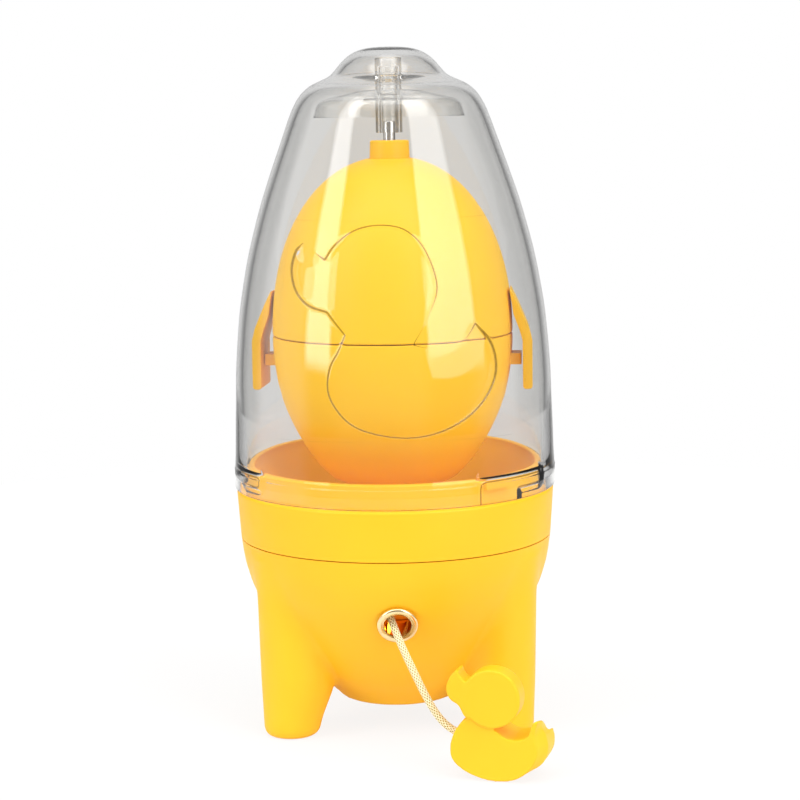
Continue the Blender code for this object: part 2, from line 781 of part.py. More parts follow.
def cover_dome(finish):
    """The clear bullet-shaped cover, with bayonet tracks in its lip."""
    outer = smooth_curve(COVER_OUTLINE, 22)
    inner = offset_inwards(outer, COVER_WALL)
    inner = [(max(r, 0.0), z) for r, z in inner if z > COVER_LIP_BORE_TOP + 0.8][:-1]
    outline = [
        (COVER_LIP_RADIUS - 0.25, COVER_BOTTOM),
        (COVER_LIP_RADIUS, COVER_BOTTOM + 0.3),
        (COVER_LIP_RADIUS, COVER_LIP_TOP),
    ]
    outline += [(max(r, 0.0), z) for r, z in outer]
    outline += [(0, COVER_OUTLINE[-1][1] - COVER_WALL)]
    outline += inner[::-1]
    outline += [(COVER_LIP_BORE + 0.6, COVER_LIP_BORE_TOP), (COVER_LIP_BORE, COVER_LIP_BORE_TOP - 0.4)]
    outline += [(COVER_LIP_BORE, COVER_BOTTOM)]
    dome = place("cover_dome", turned(outline))
    for k in range(TRACK_COUNT):
        turn = k * 360 / TRACK_COUNT
        entry = TRACK_START + turn, TRACK_ENTRY_END + turn
        slot = TRACK_START + turn, TRACK_SLOT_END + turn
        reach = COVER_LIP_BORE - 1.5, TRACK_RADIUS
        combine(dome, place("entry", ring_sector(*reach, COVER_BOTTOM - 1, TRACK_TOP, *entry)))
        combine(dome, place("slot", ring_sector(*reach, TRACK_SLOT_FLOOR, TRACK_TOP, *slot, 7)))
    return finish_piece(dome, finish)


def cover_stem(finish):
    """The clear tube that steadies the capsule's pin, with its shoulder inside the crown."""
    shoulder = [tuple(p) for p in smooth_curve(FLANGE_OUTLINE, 7)]
    under = [tuple(p) for p in offset_inwards(shoulder, FLANGE_WALL)]
    under[0] = (under[0][0], shoulder[0][1])
    outline = [
        (STEM_BORE, STEM_BOTTOM),
        (STEM_RADIUS, STEM_BOTTOM),
        (STEM_RADIUS, 184.0),
    ]
    outline += under[::-1] + shoulder
    outline += [
        (STEM_RADIUS, 185.6),
        (STEM_RADIUS, STEM_TOP),
        (0, STEM_TOP),
        (0, STEM_CEILING),
        (STEM_BORE, STEM_CEILING),
    ]
    return place("cover_stem", turned(outline, 24), finish)


# cord and pull


def cord_tube(name, points, finish):
    """A round cord along points in millimetres, with closed ends."""
    curve = bpy.data.curves.new(name, "CURVE")
    curve.dimensions = "3D"
    curve.bevel_depth = CORD_RADIUS * MM
    curve.bevel_resolution = 2
    curve.use_fill_caps = True
    spline = curve.splines.new("POLY")
    spline.points.add(len(points) - 1)
    for knot, point in zip(spline.points, points):
        knot.co = (*(value * MM for value in point), 1.0)
    curve.materials.append(finish)
    obj = bpy.data.objects.new(name, curve)
    bpy.context.collection.objects.link(obj)
    return obj


def pull_frame():
    """Where the pull stands, turned a little from the front."""
    turn = Matrix.Rotation(math.radians(PULL_YAW), 4, "Z")
    upright = Matrix.Rotation(math.radians(90), 4, "X")
    return Matrix.Translation((*PULL_FOOT, 0)) @ turn @ upright


def slab(outline, front, back):
    """An outline drawn along and up, given thickness from front to back."""
    return prism(outline, -back, -front)


def eased(value):
    """Nought below nought, one above one, and a smooth rise between."""
    share = np.clip(value, 0, 1)
    return share * share * (3 - 2 * share)


def flared(outline, depth):
    """The body's outline at a depth: the tail is wider behind its face, and its tip falls
    with the square of the depth."""
    tail = eased((outline[:, 0] - PULL_TAIL_START) / 4.0)
    tip = eased((outline[:, 1] - PULL_TIP_START) / 5.0)
    wider = PULL_TAIL_FLARE * min(1.0, depth / PULL_TAIL_DEPTH) * tail * (1 - 0.8 * tip)
    lower = PULL_TIP_DROP * depth**2 * tail * tip
    return outline + np.column_stack((wider, -lower))


def layered(layers):
    """A solid through outlines with the same number of points, each at its own depth."""
    bm = bmesh.new()
    rings = [[bm.verts.new((x, y, -depth)) for x, y in outline] for outline, depth in layers]
    bm.faces.new(rings[0])
    bm.faces.new(rings[-1])
    count = len(rings[0])
    for near, far in zip(rings, rings[1:]):
        for i in range(count):
            j = (i + 1) % count
            bm.faces.new((near[i], near[j], far[j], far[i]))
    return bm


def pull_handle(finish):
    """A plain toy duck: a thick body with a flared tail, a round head and an upturned bill."""
    body = np.array(smooth_curve(PULL_BODY_OUTLINE, 42, closed=True))
    depths = (0.0, PULL_TAIL_DEPTH, 8.0, PULL_BODY_DEPTH - 1.5, PULL_BODY_DEPTH)
    layers = [(flared(body, depth), depth) for depth in depths]
    bill = [tuple(p) for p in smooth_curve(PULL_BILL_OUTLINE, 22, closed=True)]
    angles = np.linspace(0, 2 * math.pi, 28, endpoint=False)
    cx, cy = PULL_HEAD_CENTRE
    head = [(cx + PULL_HEAD_RADIUS * math.cos(a), cy + PULL_HEAD_RADIUS * math.sin(a)) for a in angles]
    duck = place("pull_handle", layered(layers))
    combine(duck, place("head", slab(head, -PULL_HEAD_PROUD, PULL_HEAD_DEPTH)), "UNION")
    combine(duck, place("bill", slab(bill, 0.1 - PULL_HEAD_PROUD, PULL_HEAD_DEPTH - 0.1)), "UNION")
    duck.data.transform(Matrix.Scale(MM, 4) @ pull_frame() @ Matrix.Scale(1 / MM, 4))
    low = min(v.co.z for v in duck.data.vertices)
    duck.data.transform(Matrix.Translation((0, 0, 0.0002 - low)))
    entry = Vector(CORD_ROUTE[-1])
    along = (entry - Vector(CORD_ROUTE[-3])).normalized()
    hole = rod(CORD_RADIUS + 0.4, -1.0, 5.0, 12)
    turn = Vector((0, 0, 1)).rotation_difference(along).to_matrix().to_4x4()
    hole.transform(Matrix.Translation(entry - along * 3.4) @ turn)
    combine(duck, place("cord_hole", hole))
    return finish_piece(duck, finish)


def main():
    """Build every piece."""
    clear_scene()
    yellow = material("yellow_plastic", YELLOW, 0.35)
    deep = material("deep_yellow_plastic", DEEP_YELLOW, 0.4)
    clear = material("clear_plastic", CLEAR, 0.08)
    steel = material("steel", STEEL, 0.25, 1.0)
    brass = material("brass", BRASS, 0.25, 1.0)
    cream = material("braided_cord", CREAM, 0.8)
    natural = material("natural_nylon", NATURAL, 0.5)
    silicone = material("silicone", SILICONE, 0.6)

    lower_housing(yellow)
    base_collar(yellow)
    for number, degrees in enumerate(SCREW_BEARINGS, 1):
        case_screw(number, degrees, steel)
    bush("lower_bush", 9.2, 16.3, 16.3, 17.3, True, natural)
    bush("upper_bush", 51.0, 60.0, 51.0, 52.0, False, natural)
    cord_eyelet(brass)
    eyelet_washer(brass)
    cord_tube("cord_lead", [LEAD_START, LEAD_END], cream)

    spindle_shaft(steel)
    cord_spool(deep)
    cord_winding(cream)
    drive_head(deep)
    thrust_washer(natural)
    shaft_clip(steel)

    capsule_lower_shell(yellow)
    liner("lower_liner", False, silicone)
    capsule_upper_shell(yellow)
    liner("upper_liner", True, silicone)
    top_pin(steel)
    latch_arm("latch_arm_right", 0, yellow)
    latch_arm("latch_arm_left", 180, yellow)

    cover_dome(clear)
    cover_stem(clear)

    cord_tube("pull_cord", smooth_curve(CORD_ROUTE, CORD_POINTS), cream)
    pull_handle(yellow)


main()
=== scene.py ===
"""Egg spinner: builds the visible pieces of a cord-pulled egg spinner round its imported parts.

Shapes are worked out in millimetres and put into meshes in metres. +Z is up, -Y is the front.
"""

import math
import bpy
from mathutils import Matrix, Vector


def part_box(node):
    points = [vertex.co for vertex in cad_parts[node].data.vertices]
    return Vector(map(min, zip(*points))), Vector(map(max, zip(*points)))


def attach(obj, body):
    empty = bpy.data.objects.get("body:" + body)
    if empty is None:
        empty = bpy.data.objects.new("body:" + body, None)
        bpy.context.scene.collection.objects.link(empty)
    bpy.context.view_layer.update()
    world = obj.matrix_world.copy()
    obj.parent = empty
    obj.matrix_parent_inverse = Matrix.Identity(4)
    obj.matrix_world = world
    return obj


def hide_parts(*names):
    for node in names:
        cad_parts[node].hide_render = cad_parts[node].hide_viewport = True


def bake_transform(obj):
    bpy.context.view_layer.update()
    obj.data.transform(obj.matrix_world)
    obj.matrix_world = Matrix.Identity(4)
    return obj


bl_info = {
    "name": "Egg spinner",
    "version": (1, 0, 0),
    "blender": (4, 5, 0),
    "location": "View3D > Sidebar > Egg spinner",
    "description": "Builds a cord-pulled egg spinner round its packed parts",
    "category": "Add Mesh",
}

import bmesh
import bpy
import numpy as np
from bpy.props import FloatProperty, FloatVectorProperty, PointerProperty
from mathutils import Matrix, Vector

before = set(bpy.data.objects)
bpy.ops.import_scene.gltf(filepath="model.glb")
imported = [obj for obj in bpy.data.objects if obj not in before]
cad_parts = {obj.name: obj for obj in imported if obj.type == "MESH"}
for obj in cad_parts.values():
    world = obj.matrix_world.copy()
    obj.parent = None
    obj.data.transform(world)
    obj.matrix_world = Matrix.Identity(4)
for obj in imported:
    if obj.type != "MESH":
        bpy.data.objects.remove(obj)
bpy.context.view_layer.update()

MM = 0.001

# places read from the frame, in millimetres
COVER_LOW, COVER_HIGH = (np.array(corner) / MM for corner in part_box("cover_dome"))
LIP_RADIUS = COVER_HIGH[0]
LIP_BOTTOM = COVER_LOW[2]
CROWN_TOP = COVER_HIGH[2]
BOWL_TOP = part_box("lower_housing")[1].z / MM
COLLAR_LOW, COLLAR_HIGH = (np.array(corner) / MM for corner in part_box("base_collar"))
SHAFT_LOW, SHAFT_HIGH = (corner.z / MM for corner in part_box("spindle_shaft"))
PULL_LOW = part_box("pull_handle")[0].z / MM
CAPSULE_TURN = math.radians(-6.0)

SAME_POINT = 1e-6  # metres
THIN_FACE = 1e-7

# camera and floor, in metres, millimetres of film and degrees
LENS = 99.0
SENSOR = 36.0
LENS_SHIFT = 0.0078
CAMERA_PLACE = (0.0, -0.636, 0.1829)
CAMERA_DOWN = 7.91
CAMERA_ROLL = -0.97
FLOOR_RADIUS = 0.45

# bowl and legs
BOWL_WALL = 2.2
BOWL_FLOOR = 6.7
BOWL_OUTLINE = np.array(
    [
        (14.0, 6.7), (16.6, 7.6), (18.6, 9.4), (21.6, 12.2), (26.6, 17.0), (31.6, 23.2),
        (36.0, 30.0), (39.5, 36.0), (42.0, 41.2), (43.3, 45.0), (44.4, 49.2), (45.3, 55.5),
        (45.9, 62.0),
    ]
)
LEG_BEARINGS = (90.0, 210.0, 330.0)
LEG_OUTER = 43.7
LEG_OUTER_SLOPE = 0.022
LEG_INNER = 27.7
LEG_FLARE = 5.2
LEG_FLARE_HEIGHT = 18.0
LEG_TOP = 52.0
SOLE_EDGE = 1.5
FILLET = 2.2
VOXEL = 1.0
SCREW_RING = 13.0

LUG_BEARING = -50.5
LUG_HALF_ANGLE = 5.5
LUG_REACH = (42.3, 44.55)
LUG_HEIGHTS = (74.1, 76.0)
EYELET_REACH = 40.45
EYELET_HEIGHT = 37.6
EYELET_TILT = 24.0
EYELET_FACE = 0.4

# cover
COVER_WALL = 1.9
LIP_BORE = 43.75
BORE_TOP = 77.4
BORE_TAPER = 32.0
# colour of the painted shade lines on the cover, along the steps of the duck relief and tracks and
# round the lip's foot
EDGE_SHADE_COLOUR = (0.16, 0.15, 0.13)
LIP_TOP = 75.9
COVER_OUTLINE = np.array(
    [
        (46.62, 76.2), (46.4, 81.0), (46.2, 88.0), (45.9, 96.0), (45.65, 104.0), (45.05, 112.5),
        (44.2, 121.0), (42.95, 129.0), (41.4, 137.0), (39.4, 145.0), (37.1, 153.0),
        (34.4, 161.0), (31.7, 168.5), (29.0, 176.0), (27.3, 180.0), (25.2, 183.3),
        (22.4, 185.7), (19.2, 187.2), (16.8, 188.4), (15.0, 190.3), (13.2, 192.4),
        (10.6, 194.5), (7.4, 195.8), (3.6, 196.3), (0.0, 196.4),
    ]
)
TRACK_OUTLINE = [  # azimuth from the front, height, corner radius, for one track
    (31.0, 68.0, 0.0), (48.0, 68.0, 0.0), (48.0, 73.7, 1.0), (63.4, 73.7, 1.0),
    (63.4, 76.4, 1.0), (31.0, 76.4, 2.2),
]
SHOULDER_WALL = 0.45
TRACK_DEPTH = 1.3
TRACK_MARGIN = 0.3
TRACK_SLOPE = 1.8
DUCK_RUNS = [  # smooth runs between the sharp turns of the duck's outline: azimuth, height
    [(-37.3, 142.9), (-40.3, 140.4), (-41.1, 135.5), (-38.1, 130.1), (-32.0, 126.2), (-24.0, 124.5)],
    [(-24.0, 124.5), (-16.9, 118.4)],
    [
        (-16.9, 118.4), (-19.4, 113.8), (-22.6, 108.9), (-22.7, 102.0), (-16.9, 95.4),
        (-8.2, 91.9), (5.9, 90.4), (19.3, 92.6), (31.0, 98.2), (38.0, 106.3), (37.3, 114.3),
        (30.7, 120.6),
    ],
    [(30.7, 120.6), (26.5, 116.8), (21.0, 115.0), (13.0, 114.6), (7.0, 115.6)],
    [
        (7.0, 115.6), (10.0, 119.3), (13.6, 124.3), (16.8, 131.4), (13.1, 140.9), (5.7, 146.4),
        (-4.4, 147.8), (-14.5, 146.5), (-22.5, 142.5), (-26.2, 138.5),
    ],
    [(-26.2, 138.5), (-37.3, 142.9)],
]
DUCK_FADES = [(19.0, 118.5, 12.5), (-31.5, 141.5, 5.5)]  # azimuth, height, reach

# capsule
SEAM = 114.5
SEAM_GAP = 0.15
CAPSULE_RADIUS = 34.8
CAPSULE_RISE = 50.5
CAP_POWER = 2.15
CAPSULE_DROP = 50.0
CAPSULE_FOOT = 66.0
CAPSULE_WALL = 2.0
BOSS_RADIUS = 5.6
BOSS_TOP = 169.7
ARM_WIDTH = 14.4
ARM_OUTLINE = [  # radius, height, corner radius
    (33.9, 128.2, 0.5), (36.4, 123.2, 3.0), (39.4, 116.4, 3.0), (40.35, 112.8, 3.0),
    (40.4, 98.6, 1.2), (37.8, 98.6, 1.0), (37.7, 112.6, 2.5), (36.9, 115.6, 2.5),
    (35.2, 120.2, 3.0), (34.6, 124.2, 3.0),
]

# cord and pull
CORD_ROUTE = [
    (-1.9, -38.4, 38.8), (-1.1, -40.5, 36.9), (0.4, -43.0, 33.5), (2.1, -45.6, 30.0),
    (3.7, -48.0, 27.0), (5.3, -50.2, 24.0), (6.9, -52.4, 21.1), (8.6, -54.4, 18.3),
    (10.3, -56.2, 16.0), (12.0, -57.6, 14.2), (13.7, -58.8, 13.0), (15.2, -59.8, 12.3),
    (16.9, -60.9, 11.6),
]
LEAD_ROUTE = [(-7.4, -8.2, 38.6), (-4.7, -23.0, 38.85), (-2.0, -37.8, 39.1)]
CORD_DIAMETER = 2.1
BRAID_STRANDS = 8
BRAID_LENGTH = 1.3
BRAID_DEPTH = 0.06
SPOOL_CORE = 4.7
PULL_FOOT = (26.6, -67.3)
PULL_YAW = -16.0
PULL_BODY_DEPTH = 13.0
PULL_TAIL_START = 5.0
PULL_TAIL_FLARE = 2.3
PULL_TAIL_DEPTH = 4.0
PULL_TIP_START = 12.0
PULL_TIP_DROP = 0.045
PULL_HEAD_DEPTH = 5.6
PULL_HEAD_PROUD = 0.8
PULL_HEAD_CENTRE = (-2.1, 22.8)
PULL_HEAD_RADIUS = 8.0
PULL_VOXEL = 0.3
PULL_BODY_OUTLINE = [  # along the duck, up
    (-9.1, 16.9), (-11.9, 13.9), (-13.5, 9.9), (-13.3, 5.8), (-10.4, 2.8), (-6.2, 0.9),
    (-1.2, 0.0), (3.9, 0.7), (7.4, 3.1), (9.7, 6.6), (10.2, 9.6), (9.6, 12.6), (9.7, 14.6),
    (10.5, 17.3), (8.9, 16.5), (7.6, 13.0), (4.6, 11.7), (1.5, 12.2), (-1.4, 14.2),
    (-5.2, 16.4),
]
PULL_BILL_OUTLINE = [
    (-9.1, 17.4), (-11.0, 20.5), (-13.4, 22.2), (-14.4, 24.9), (-13.5, 28.0), (-11.3, 30.3),
    (-10.6, 28.9), (-9.2, 27.3), (-6.5, 26.5), (-5.0, 22.0), (-6.0, 18.0),
]


# shapes


def smooth_curve(points, count, closed=False):
    """Points along a Catmull-Rom curve through the given ones, evenly spaced in parameter."""
    p = np.array(points, dtype=float)
    if closed:
        p = np.vstack((p[-1], p, p[:2]))
    else:
        p = np.vstack((2 * p[0] - p[1], p, 2 * p[-1] - p[-2]))
    spans = len(p) - 3
    t = np.linspace(0, spans, count, endpoint=not closed)
    k = np.minimum(t.astype(int), spans - 1)
    u = (t - k)[:, None]
    a, b, c, d = p[k], p[k + 1], p[k + 2], p[k + 3]
    curve = 2 * b + (c - a) * u + (2 * a - 5 * b + 4 * c - d) * u**2
    return 0.5 * (curve + (3 * b - a - 3 * c + d) * u**3)


def rounded(corners, closed=True, steps=5):
    """An outline of (across, up, corner radius) whose corners are quadratic curves that start
    and end where a tangent circle of that radius would touch the two sides."""
    p = np.array([corner[:2] for corner in corners], dtype=float)
    last = len(corners) - 1
    runs = []
    for i, (across, up, radius) in enumerate(corners):
        if not radius or (not closed and i in (0, last)):
            runs.append([(across, up)])
            continue
        back, ahead = p[i - 1] - p[i], p[(i + 1) % len(p)] - p[i]
        reach = np.linalg.norm(back), np.linalg.norm(ahead)
        back, ahead = back / reach[0], ahead / reach[1]
        half = math.acos(max(-1.0, min(1.0, float(back @ ahead)))) / 2
        cut = min(radius / math.tan(half), 0.48 * reach[0], 0.48 * reach[1])
        t = np.linspace(0, 1, steps + 1)[:, None]
        start, end = p[i] + back * cut, p[i] + ahead * cut
        runs.append((1 - t) ** 2 * start + 2 * t * (1 - t) * p[i] + t**2 * end)
    return np.vstack(runs)


def new_object(name, mesh):
    """An object of a mesh, linked to the scene."""
    obj = bpy.data.objects.new(name, mesh)
    bpy.context.scene.collection.objects.link(obj)
    return obj


def mended(mesh, reach=0.0, thin=0.0):
    """Merge points that are nearer than a reach, dissolve faces that are thinner than a
    limit, both in metres and only where not nought, and turn the faces outwards."""
    bm = bmesh.new()
    bm.from_mesh(mesh)
    if reach:
        bmesh.ops.remove_doubles(bm, verts=bm.verts, dist=reach)
    if thin:
        bmesh.ops.dissolve_degenerate(bm, dist=thin, edges=bm.edges)
    bmesh.ops.recalc_face_normals(bm, faces=bm.faces)
    bm.to_mesh(mesh)
    bm.free()


def points_of(mesh):
    """A mesh's points in millimetres, as one array."""
    points = np.empty(len(mesh.vertices) * 3)
    mesh.vertices.foreach_get("co", points)
    return points.reshape(-1, 3) / MM


def make_piece(name, points, faces, merge=True):
    """A linked object from an array of points in millimetres and an array of faces. Points
    that coincide, as at a pole, become one, and the faces are turned outwards."""
    mesh = bpy.data.meshes.new(name)
    mesh.from_pydata((points.reshape(-1, 3) * MM).tolist(), [], faces.tolist())
    if merge:
        mended(mesh, SAME_POINT, THIN_FACE)
    return new_object(name, mesh)


def grid_faces(rows, columns, wrap_rows, wrap_columns=True):
    """The quads of a grid of points, with its last row or column joined to its first."""
    index = np.arange(rows * columns).reshape(rows, columns)
    if wrap_rows:
        index = np.vstack((index, index[:1]))
    if wrap_columns:
        index = np.hstack((index, index[:, :1]))
    corners = index[:-1, :-1], index[:-1, 1:], index[1:, 1:], index[1:, :-1]
    return np.stack(corners, -1).reshape(-1, 4)


def turned_points(outline, angles):
    """Each outline point (radius, height) carried round the Z axis to each angle."""
    radius, height = outline[:, :1], outline[:, 1:]
    x, y = radius * np.cos(angles), radius * np.sin(angles)
    return np.stack((x, y, np.broadcast_to(height, x.shape)), -1)


def turned(name, outline, columns=128):
    """A solid of revolution about Z. An outline with both ends on the axis closes at its
    poles, and any other closes on itself."""
    outline = np.array(outline, dtype=float)
    open_ends = outline[0, 0] < 1e-6 and outline[-1, 0] < 1e-6
    angles = np.linspace(0, 2 * math.pi, columns, endpoint=False)
    points = turned_points(outline, angles)
    return make_piece(name, points, grid_faces(*points.shape[:2], not open_ends))


def layered(name, layers):
    """A solid through closed outlines of (x, y) with the same number of points, each at its
    height, with a flat face at each end."""
    rings = np.stack([np.column_stack((o, np.full(len(o), height))) for o, height in layers])
    rows, count = rings.shape[:2]
    mesh = bpy.data.meshes.new(name)
    ends = [list(range(count)), list(range((rows - 1) * count, rows * count))]
    side = grid_faces(rows, count, False).tolist()
    mesh.from_pydata((rings.reshape(-1, 3) * MM).tolist(), [], side + ends)
    mended(mesh)
    return new_object(name, mesh)


def slab(name, outline, low, high):
    """A closed outline of (x, y) stretched along Z, with a flat face at each end."""
    return layered(name, [(outline, low), (outline, high)])


def signed_distance(across, up, outline):
    """How far each point lies inside a closed outline, negative outside: the least distance
    to its sides, with the sign from counting the sides that a level ray crosses."""
    start, end = outline, np.roll(outline, -1, axis=0)
    side = end - start
    offset_x, offset_y = across[..., None] - start[:, 0], up[..., None] - start[:, 1]
    length = np.maximum((side**2).sum(1), 1e-12)
    share = np.clip((offset_x * side[:, 0] + offset_y * side[:, 1]) / length, 0, 1)
    gap = np.hypot(offset_x - share * side[:, 0], offset_y - share * side[:, 1]).min(-1)
    straddles = (start[:, 1] > up[..., None]) != (end[:, 1] > up[..., None])
    rise = np.where(np.abs(side[:, 1]) < 1e-12, 1e-12, side[:, 1])
    before = offset_x < side[:, 0] * offset_y / rise
    inside = (straddles & before).sum(-1) % 2 == 1
    return np.where(inside, gap, -gap)


def smooth_step(value):
    """Nought below nought, one above one, and a smooth rise between."""
    t = np.clip(value, 0, 1)
    return t * t * (3 - 2 * t)


def applied(obj):
    """Put an object's modifiers into its mesh."""
    graph = bpy.context.evaluated_depsgraph_get()
    mesh = bpy.data.meshes.new_from_object(obj.evaluated_get(graph))
    obj.modifiers.clear()
    obj.data = mesh
    return obj


def even_mesh(obj, voxel):
    """Add a remesh to even quads of a size in millimetres."""
    remesh = obj.modifiers.new("even", "REMESH")
    remesh.mode = "VOXEL"
    remesh.voxel_size = voxel * MM


def combine(target, tool, operation="DIFFERENCE"):
    """Apply a Boolean to the target and remove the tool."""
    cut = target.modifiers.new("cut", "BOOLEAN")
    cut.operation = operation
    cut.solver = "EXACT"
    cut.object = tool
    applied(target)
    bpy.data.objects.remove(tool, do_unlink=True)


def joined(name, pieces):
    """Several pieces that don't touch, as one mesh."""
    bm = bmesh.new()
    for piece in pieces:
        bm.from_mesh(piece.data)
        bpy.data.objects.remove(piece, do_unlink=True)
    mesh = bpy.data.meshes.new(name)
    bm.to_mesh(mesh)
    bm.free()
    return new_object(name, mesh)


def moved(piece, matrix):
    """Put a piece's mesh somewhere else. The matrix is in millimetres."""
    piece.data.transform(Matrix.Scale(MM, 4) @ matrix @ Matrix.Scale(1 / MM, 4))
    return piece


def bevelled(piece, width, segments=3, angle=35.0):
    """Round a piece's sharp edges."""
    edge = piece.modifiers.new("edges", "BEVEL")
    edge.width = width * MM
    edge.segments = segments
    edge.limit_method = "ANGLE"
    edge.angle_limit = math.radians(angle)
    return applied(piece)


def inset(curve, wall):
    """A curve moved to its left by a wall's thickness."""
    along = np.gradient(curve, axis=0)
    along /= np.linalg.norm(along, axis=1)[:, None]
    return curve + wall * np.column_stack((-along[:, 1], along[:, 0]))


def travelled(path):
    """How far along a path each of its points lies."""
    steps = np.linalg.norm(np.diff(path, axis=0), axis=1)
    return np.concatenate(([0], np.cumsum(steps)))


def bearing(degrees, radius):
    """The x and y of a point at a bearing."""
    return radius * math.cos(math.radians(degrees)), radius * math.sin(math.radians(degrees))


def placed(piece, body, finish, node, angle=32.0):
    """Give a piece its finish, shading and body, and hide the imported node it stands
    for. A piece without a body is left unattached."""
    piece.data.materials.clear()
    piece.data.materials.append(finish_of(finish))
    piece.data.shade_smooth()
    piece.data.set_sharp_from_angle(angle=math.radians(angle))
    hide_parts(node)
    if body:
        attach(piece, body)
    return piece


# finishes


def linked(tree, kind, **values):
    """A node of a kind, with its plain settings and its unlinked inputs set."""
    node = tree.nodes.new(kind)
    for key, value in values.items():
        if key in node.inputs:
            node.inputs[key].default_value = value
        else:
            setattr(node, key, value)
    return node


def noise(tree, coordinates, scale, detail=3.0):
    """A noise pattern on the piece's own coordinates, with scale in features per metre."""
    pattern = linked(tree, "ShaderNodeTexNoise", Scale=scale, Detail=detail)
    tree.links.new(coordinates, pattern.inputs["Vector"])
    return pattern.outputs["Fac"]


def figured(tree, operation, *values):
    """The output of a Math node on sockets or numbers."""
    node = linked(tree, "ShaderNodeMath", operation=operation)
    for socket, value in zip(node.inputs, values):
        if isinstance(value, (int, float)):
            socket.default_value = value
        else:
            tree.links.new(value, socket)
    return node.outputs[0]


def ranged(tree, value, start, end, low, high, kind="LINEAR"):
    """A value from start to end, brought between low and high."""
    scale = linked(tree, "ShaderNodeMapRange", interpolation_type=kind)
    limits = (("From Min", start), ("From Max", end), ("To Min", low), ("To Max", high))
    for key, limit in limits:
        scale.inputs[key].default_value = limit
    tree.links.new(value, scale.inputs["Value"])
    return scale.outputs["Result"]


def spread(tree, value, low=0.0, high=1.0):
    """The middle of a noise pattern, brought between two values."""
    return ranged(tree, value, 0.3, 0.7, low, high)


def window(tree, value, low, high, soft):
    """One where a value lies between two limits, with a smooth edge at each."""
    rise = ranged(tree, value, low - soft, low + soft, 0.0, 1.0, "SMOOTHSTEP")
    fall = ranged(tree, value, high - soft, high + soft, 1.0, 0.0, "SMOOTHSTEP")
    return figured(tree, "MULTIPLY", rise, fall)


def blended(tree, share, first, second):
    """A colour between two, by a pattern. Each is a colour or a socket."""
    mix = linked(tree, "ShaderNodeMix", data_type="RGBA")
    sockets = [socket for socket in mix.inputs if socket.type == "RGBA"]
    for socket, value in zip(sockets, (first, second)):
        if isinstance(value, bpy.types.NodeSocket):
            tree.links.new(value, socket)
        else:
            socket.default_value = (*value, 1.0)
    tree.links.new(share, mix.inputs["Factor"])
    return [socket for socket in mix.outputs if socket.type == "RGBA"][0]


def mixed_surface(tree, share, first, second):
    """Make the material's surface a mix of two shaders."""
    mix = linked(tree, "ShaderNodeMixShader")
    for socket, value in zip(mix.inputs, (share, first.outputs[0], second.outputs[0])):
        tree.links.new(value, socket)
    tree.links.new(mix.outputs[0], tree.nodes["Material Output"].inputs["Surface"])


def raised(tree, shader, height, depth):
    """A bump from a pattern, with its depth in millimetres."""
    bump = linked(tree, "ShaderNodeBump", Strength=1.0, Distance=depth * MM)
    tree.links.new(height, bump.inputs["Height"])
    tree.links.new(bump.outputs["Normal"], shader.inputs["Normal"])


def new_finish(name, roughness, **sockets):
    """A Principled material and what its patterns need: tree, shader and coordinates."""
    finish = bpy.data.materials.new(name)
    finish.use_nodes = True
    tree = finish.node_tree
    shader = tree.nodes["Principled BSDF"]
    shader.inputs["Roughness"].default_value = roughness
    for key, value in sockets.items():
        shader.inputs[key.replace("_", " ")].default_value = value
    source = tree.nodes.new("ShaderNodeTexCoord")
    return finish, tree, shader, source.outputs["Object"]


def moulded_plastic(name, colour, gloss):
    """Moulded plastic: a colour that drifts a little with the flow of the melt, a roughness
    pattern from the mould's polish, and a faint orange peel."""
    finish, tree, shader, here = new_finish(name, gloss, IOR=1.52, Specular_IOR_Level=0.3)
    deep = tuple(np.array(colour) * (0.97, 0.93, 0.8))
    drift = spread(tree, noise(tree, here, 22.0))
    tree.links.new(blended(tree, drift, tuple(colour), deep), shader.inputs["Base Color"])
    polish = spread(tree, noise(tree, here, 120.0), gloss * 0.94, gloss * 1.08)
    tree.links.new(polish, shader.inputs["Roughness"])
    raised(tree, shader, noise(tree, here, 90.0, 1.0), 0.004)
    return finish


def painted_shade_lines(tree, body):
    """A colour made dark where a point's line distance is less than about its line width: painted
    shade along the steps, where the clear plastic bends light away.
    """
    distance = linked(tree, "ShaderNodeAttribute", attribute_name="shade_line_distance")
    width = linked(tree, "ShaderNodeAttribute", attribute_name="shade_line_width")
    off = figured(tree, "ABSOLUTE", distance.outputs["Fac"])
    off = figured(tree, "DIVIDE", off, width.outputs["Fac"])
    return blended(tree, window(tree, off, -1.0, 0.75, 0.45), body, EDGE_SHADE_COLOUR)


def clear_plastic(name, tint, with_painted_shade):
    """Clear plastic: light passes and bends, with a smoky tint and a very faint flow ripple. The
    steps of the relief and tracks can get painted shade, dark lines where they bend light away.
    Light on its way from a lamp or between dull surfaces goes straight through."""
    finish, tree, shader, here = new_finish(name, 0.0, IOR=1.49, Transmission_Weight=1.0)
    smoky = tuple(np.array(tint) * 0.985)
    body = blended(tree, spread(tree, noise(tree, here, 14.0)), tuple(tint), smoky)
    if with_painted_shade:
        # painted shade: dark lines along the steps of the relief and tracks
        body = painted_shade_lines(tree, body)
    tree.links.new(body, shader.inputs["Base Color"])
    raised(tree, shader, noise(tree, here, 60.0, 1.0), 0.01)
    path = linked(tree, "ShaderNodeLightPath")
    straight = figured(tree, "MAXIMUM", path.outputs["Is Shadow Ray"], path.outputs["Is Diffuse Ray"])
    through = linked(tree, "ShaderNodeBsdfTransparent")
    through.inputs["Color"].default_value = (*tint, 1.0)
    mixed_surface(tree, straight, shader, through)
    return finish


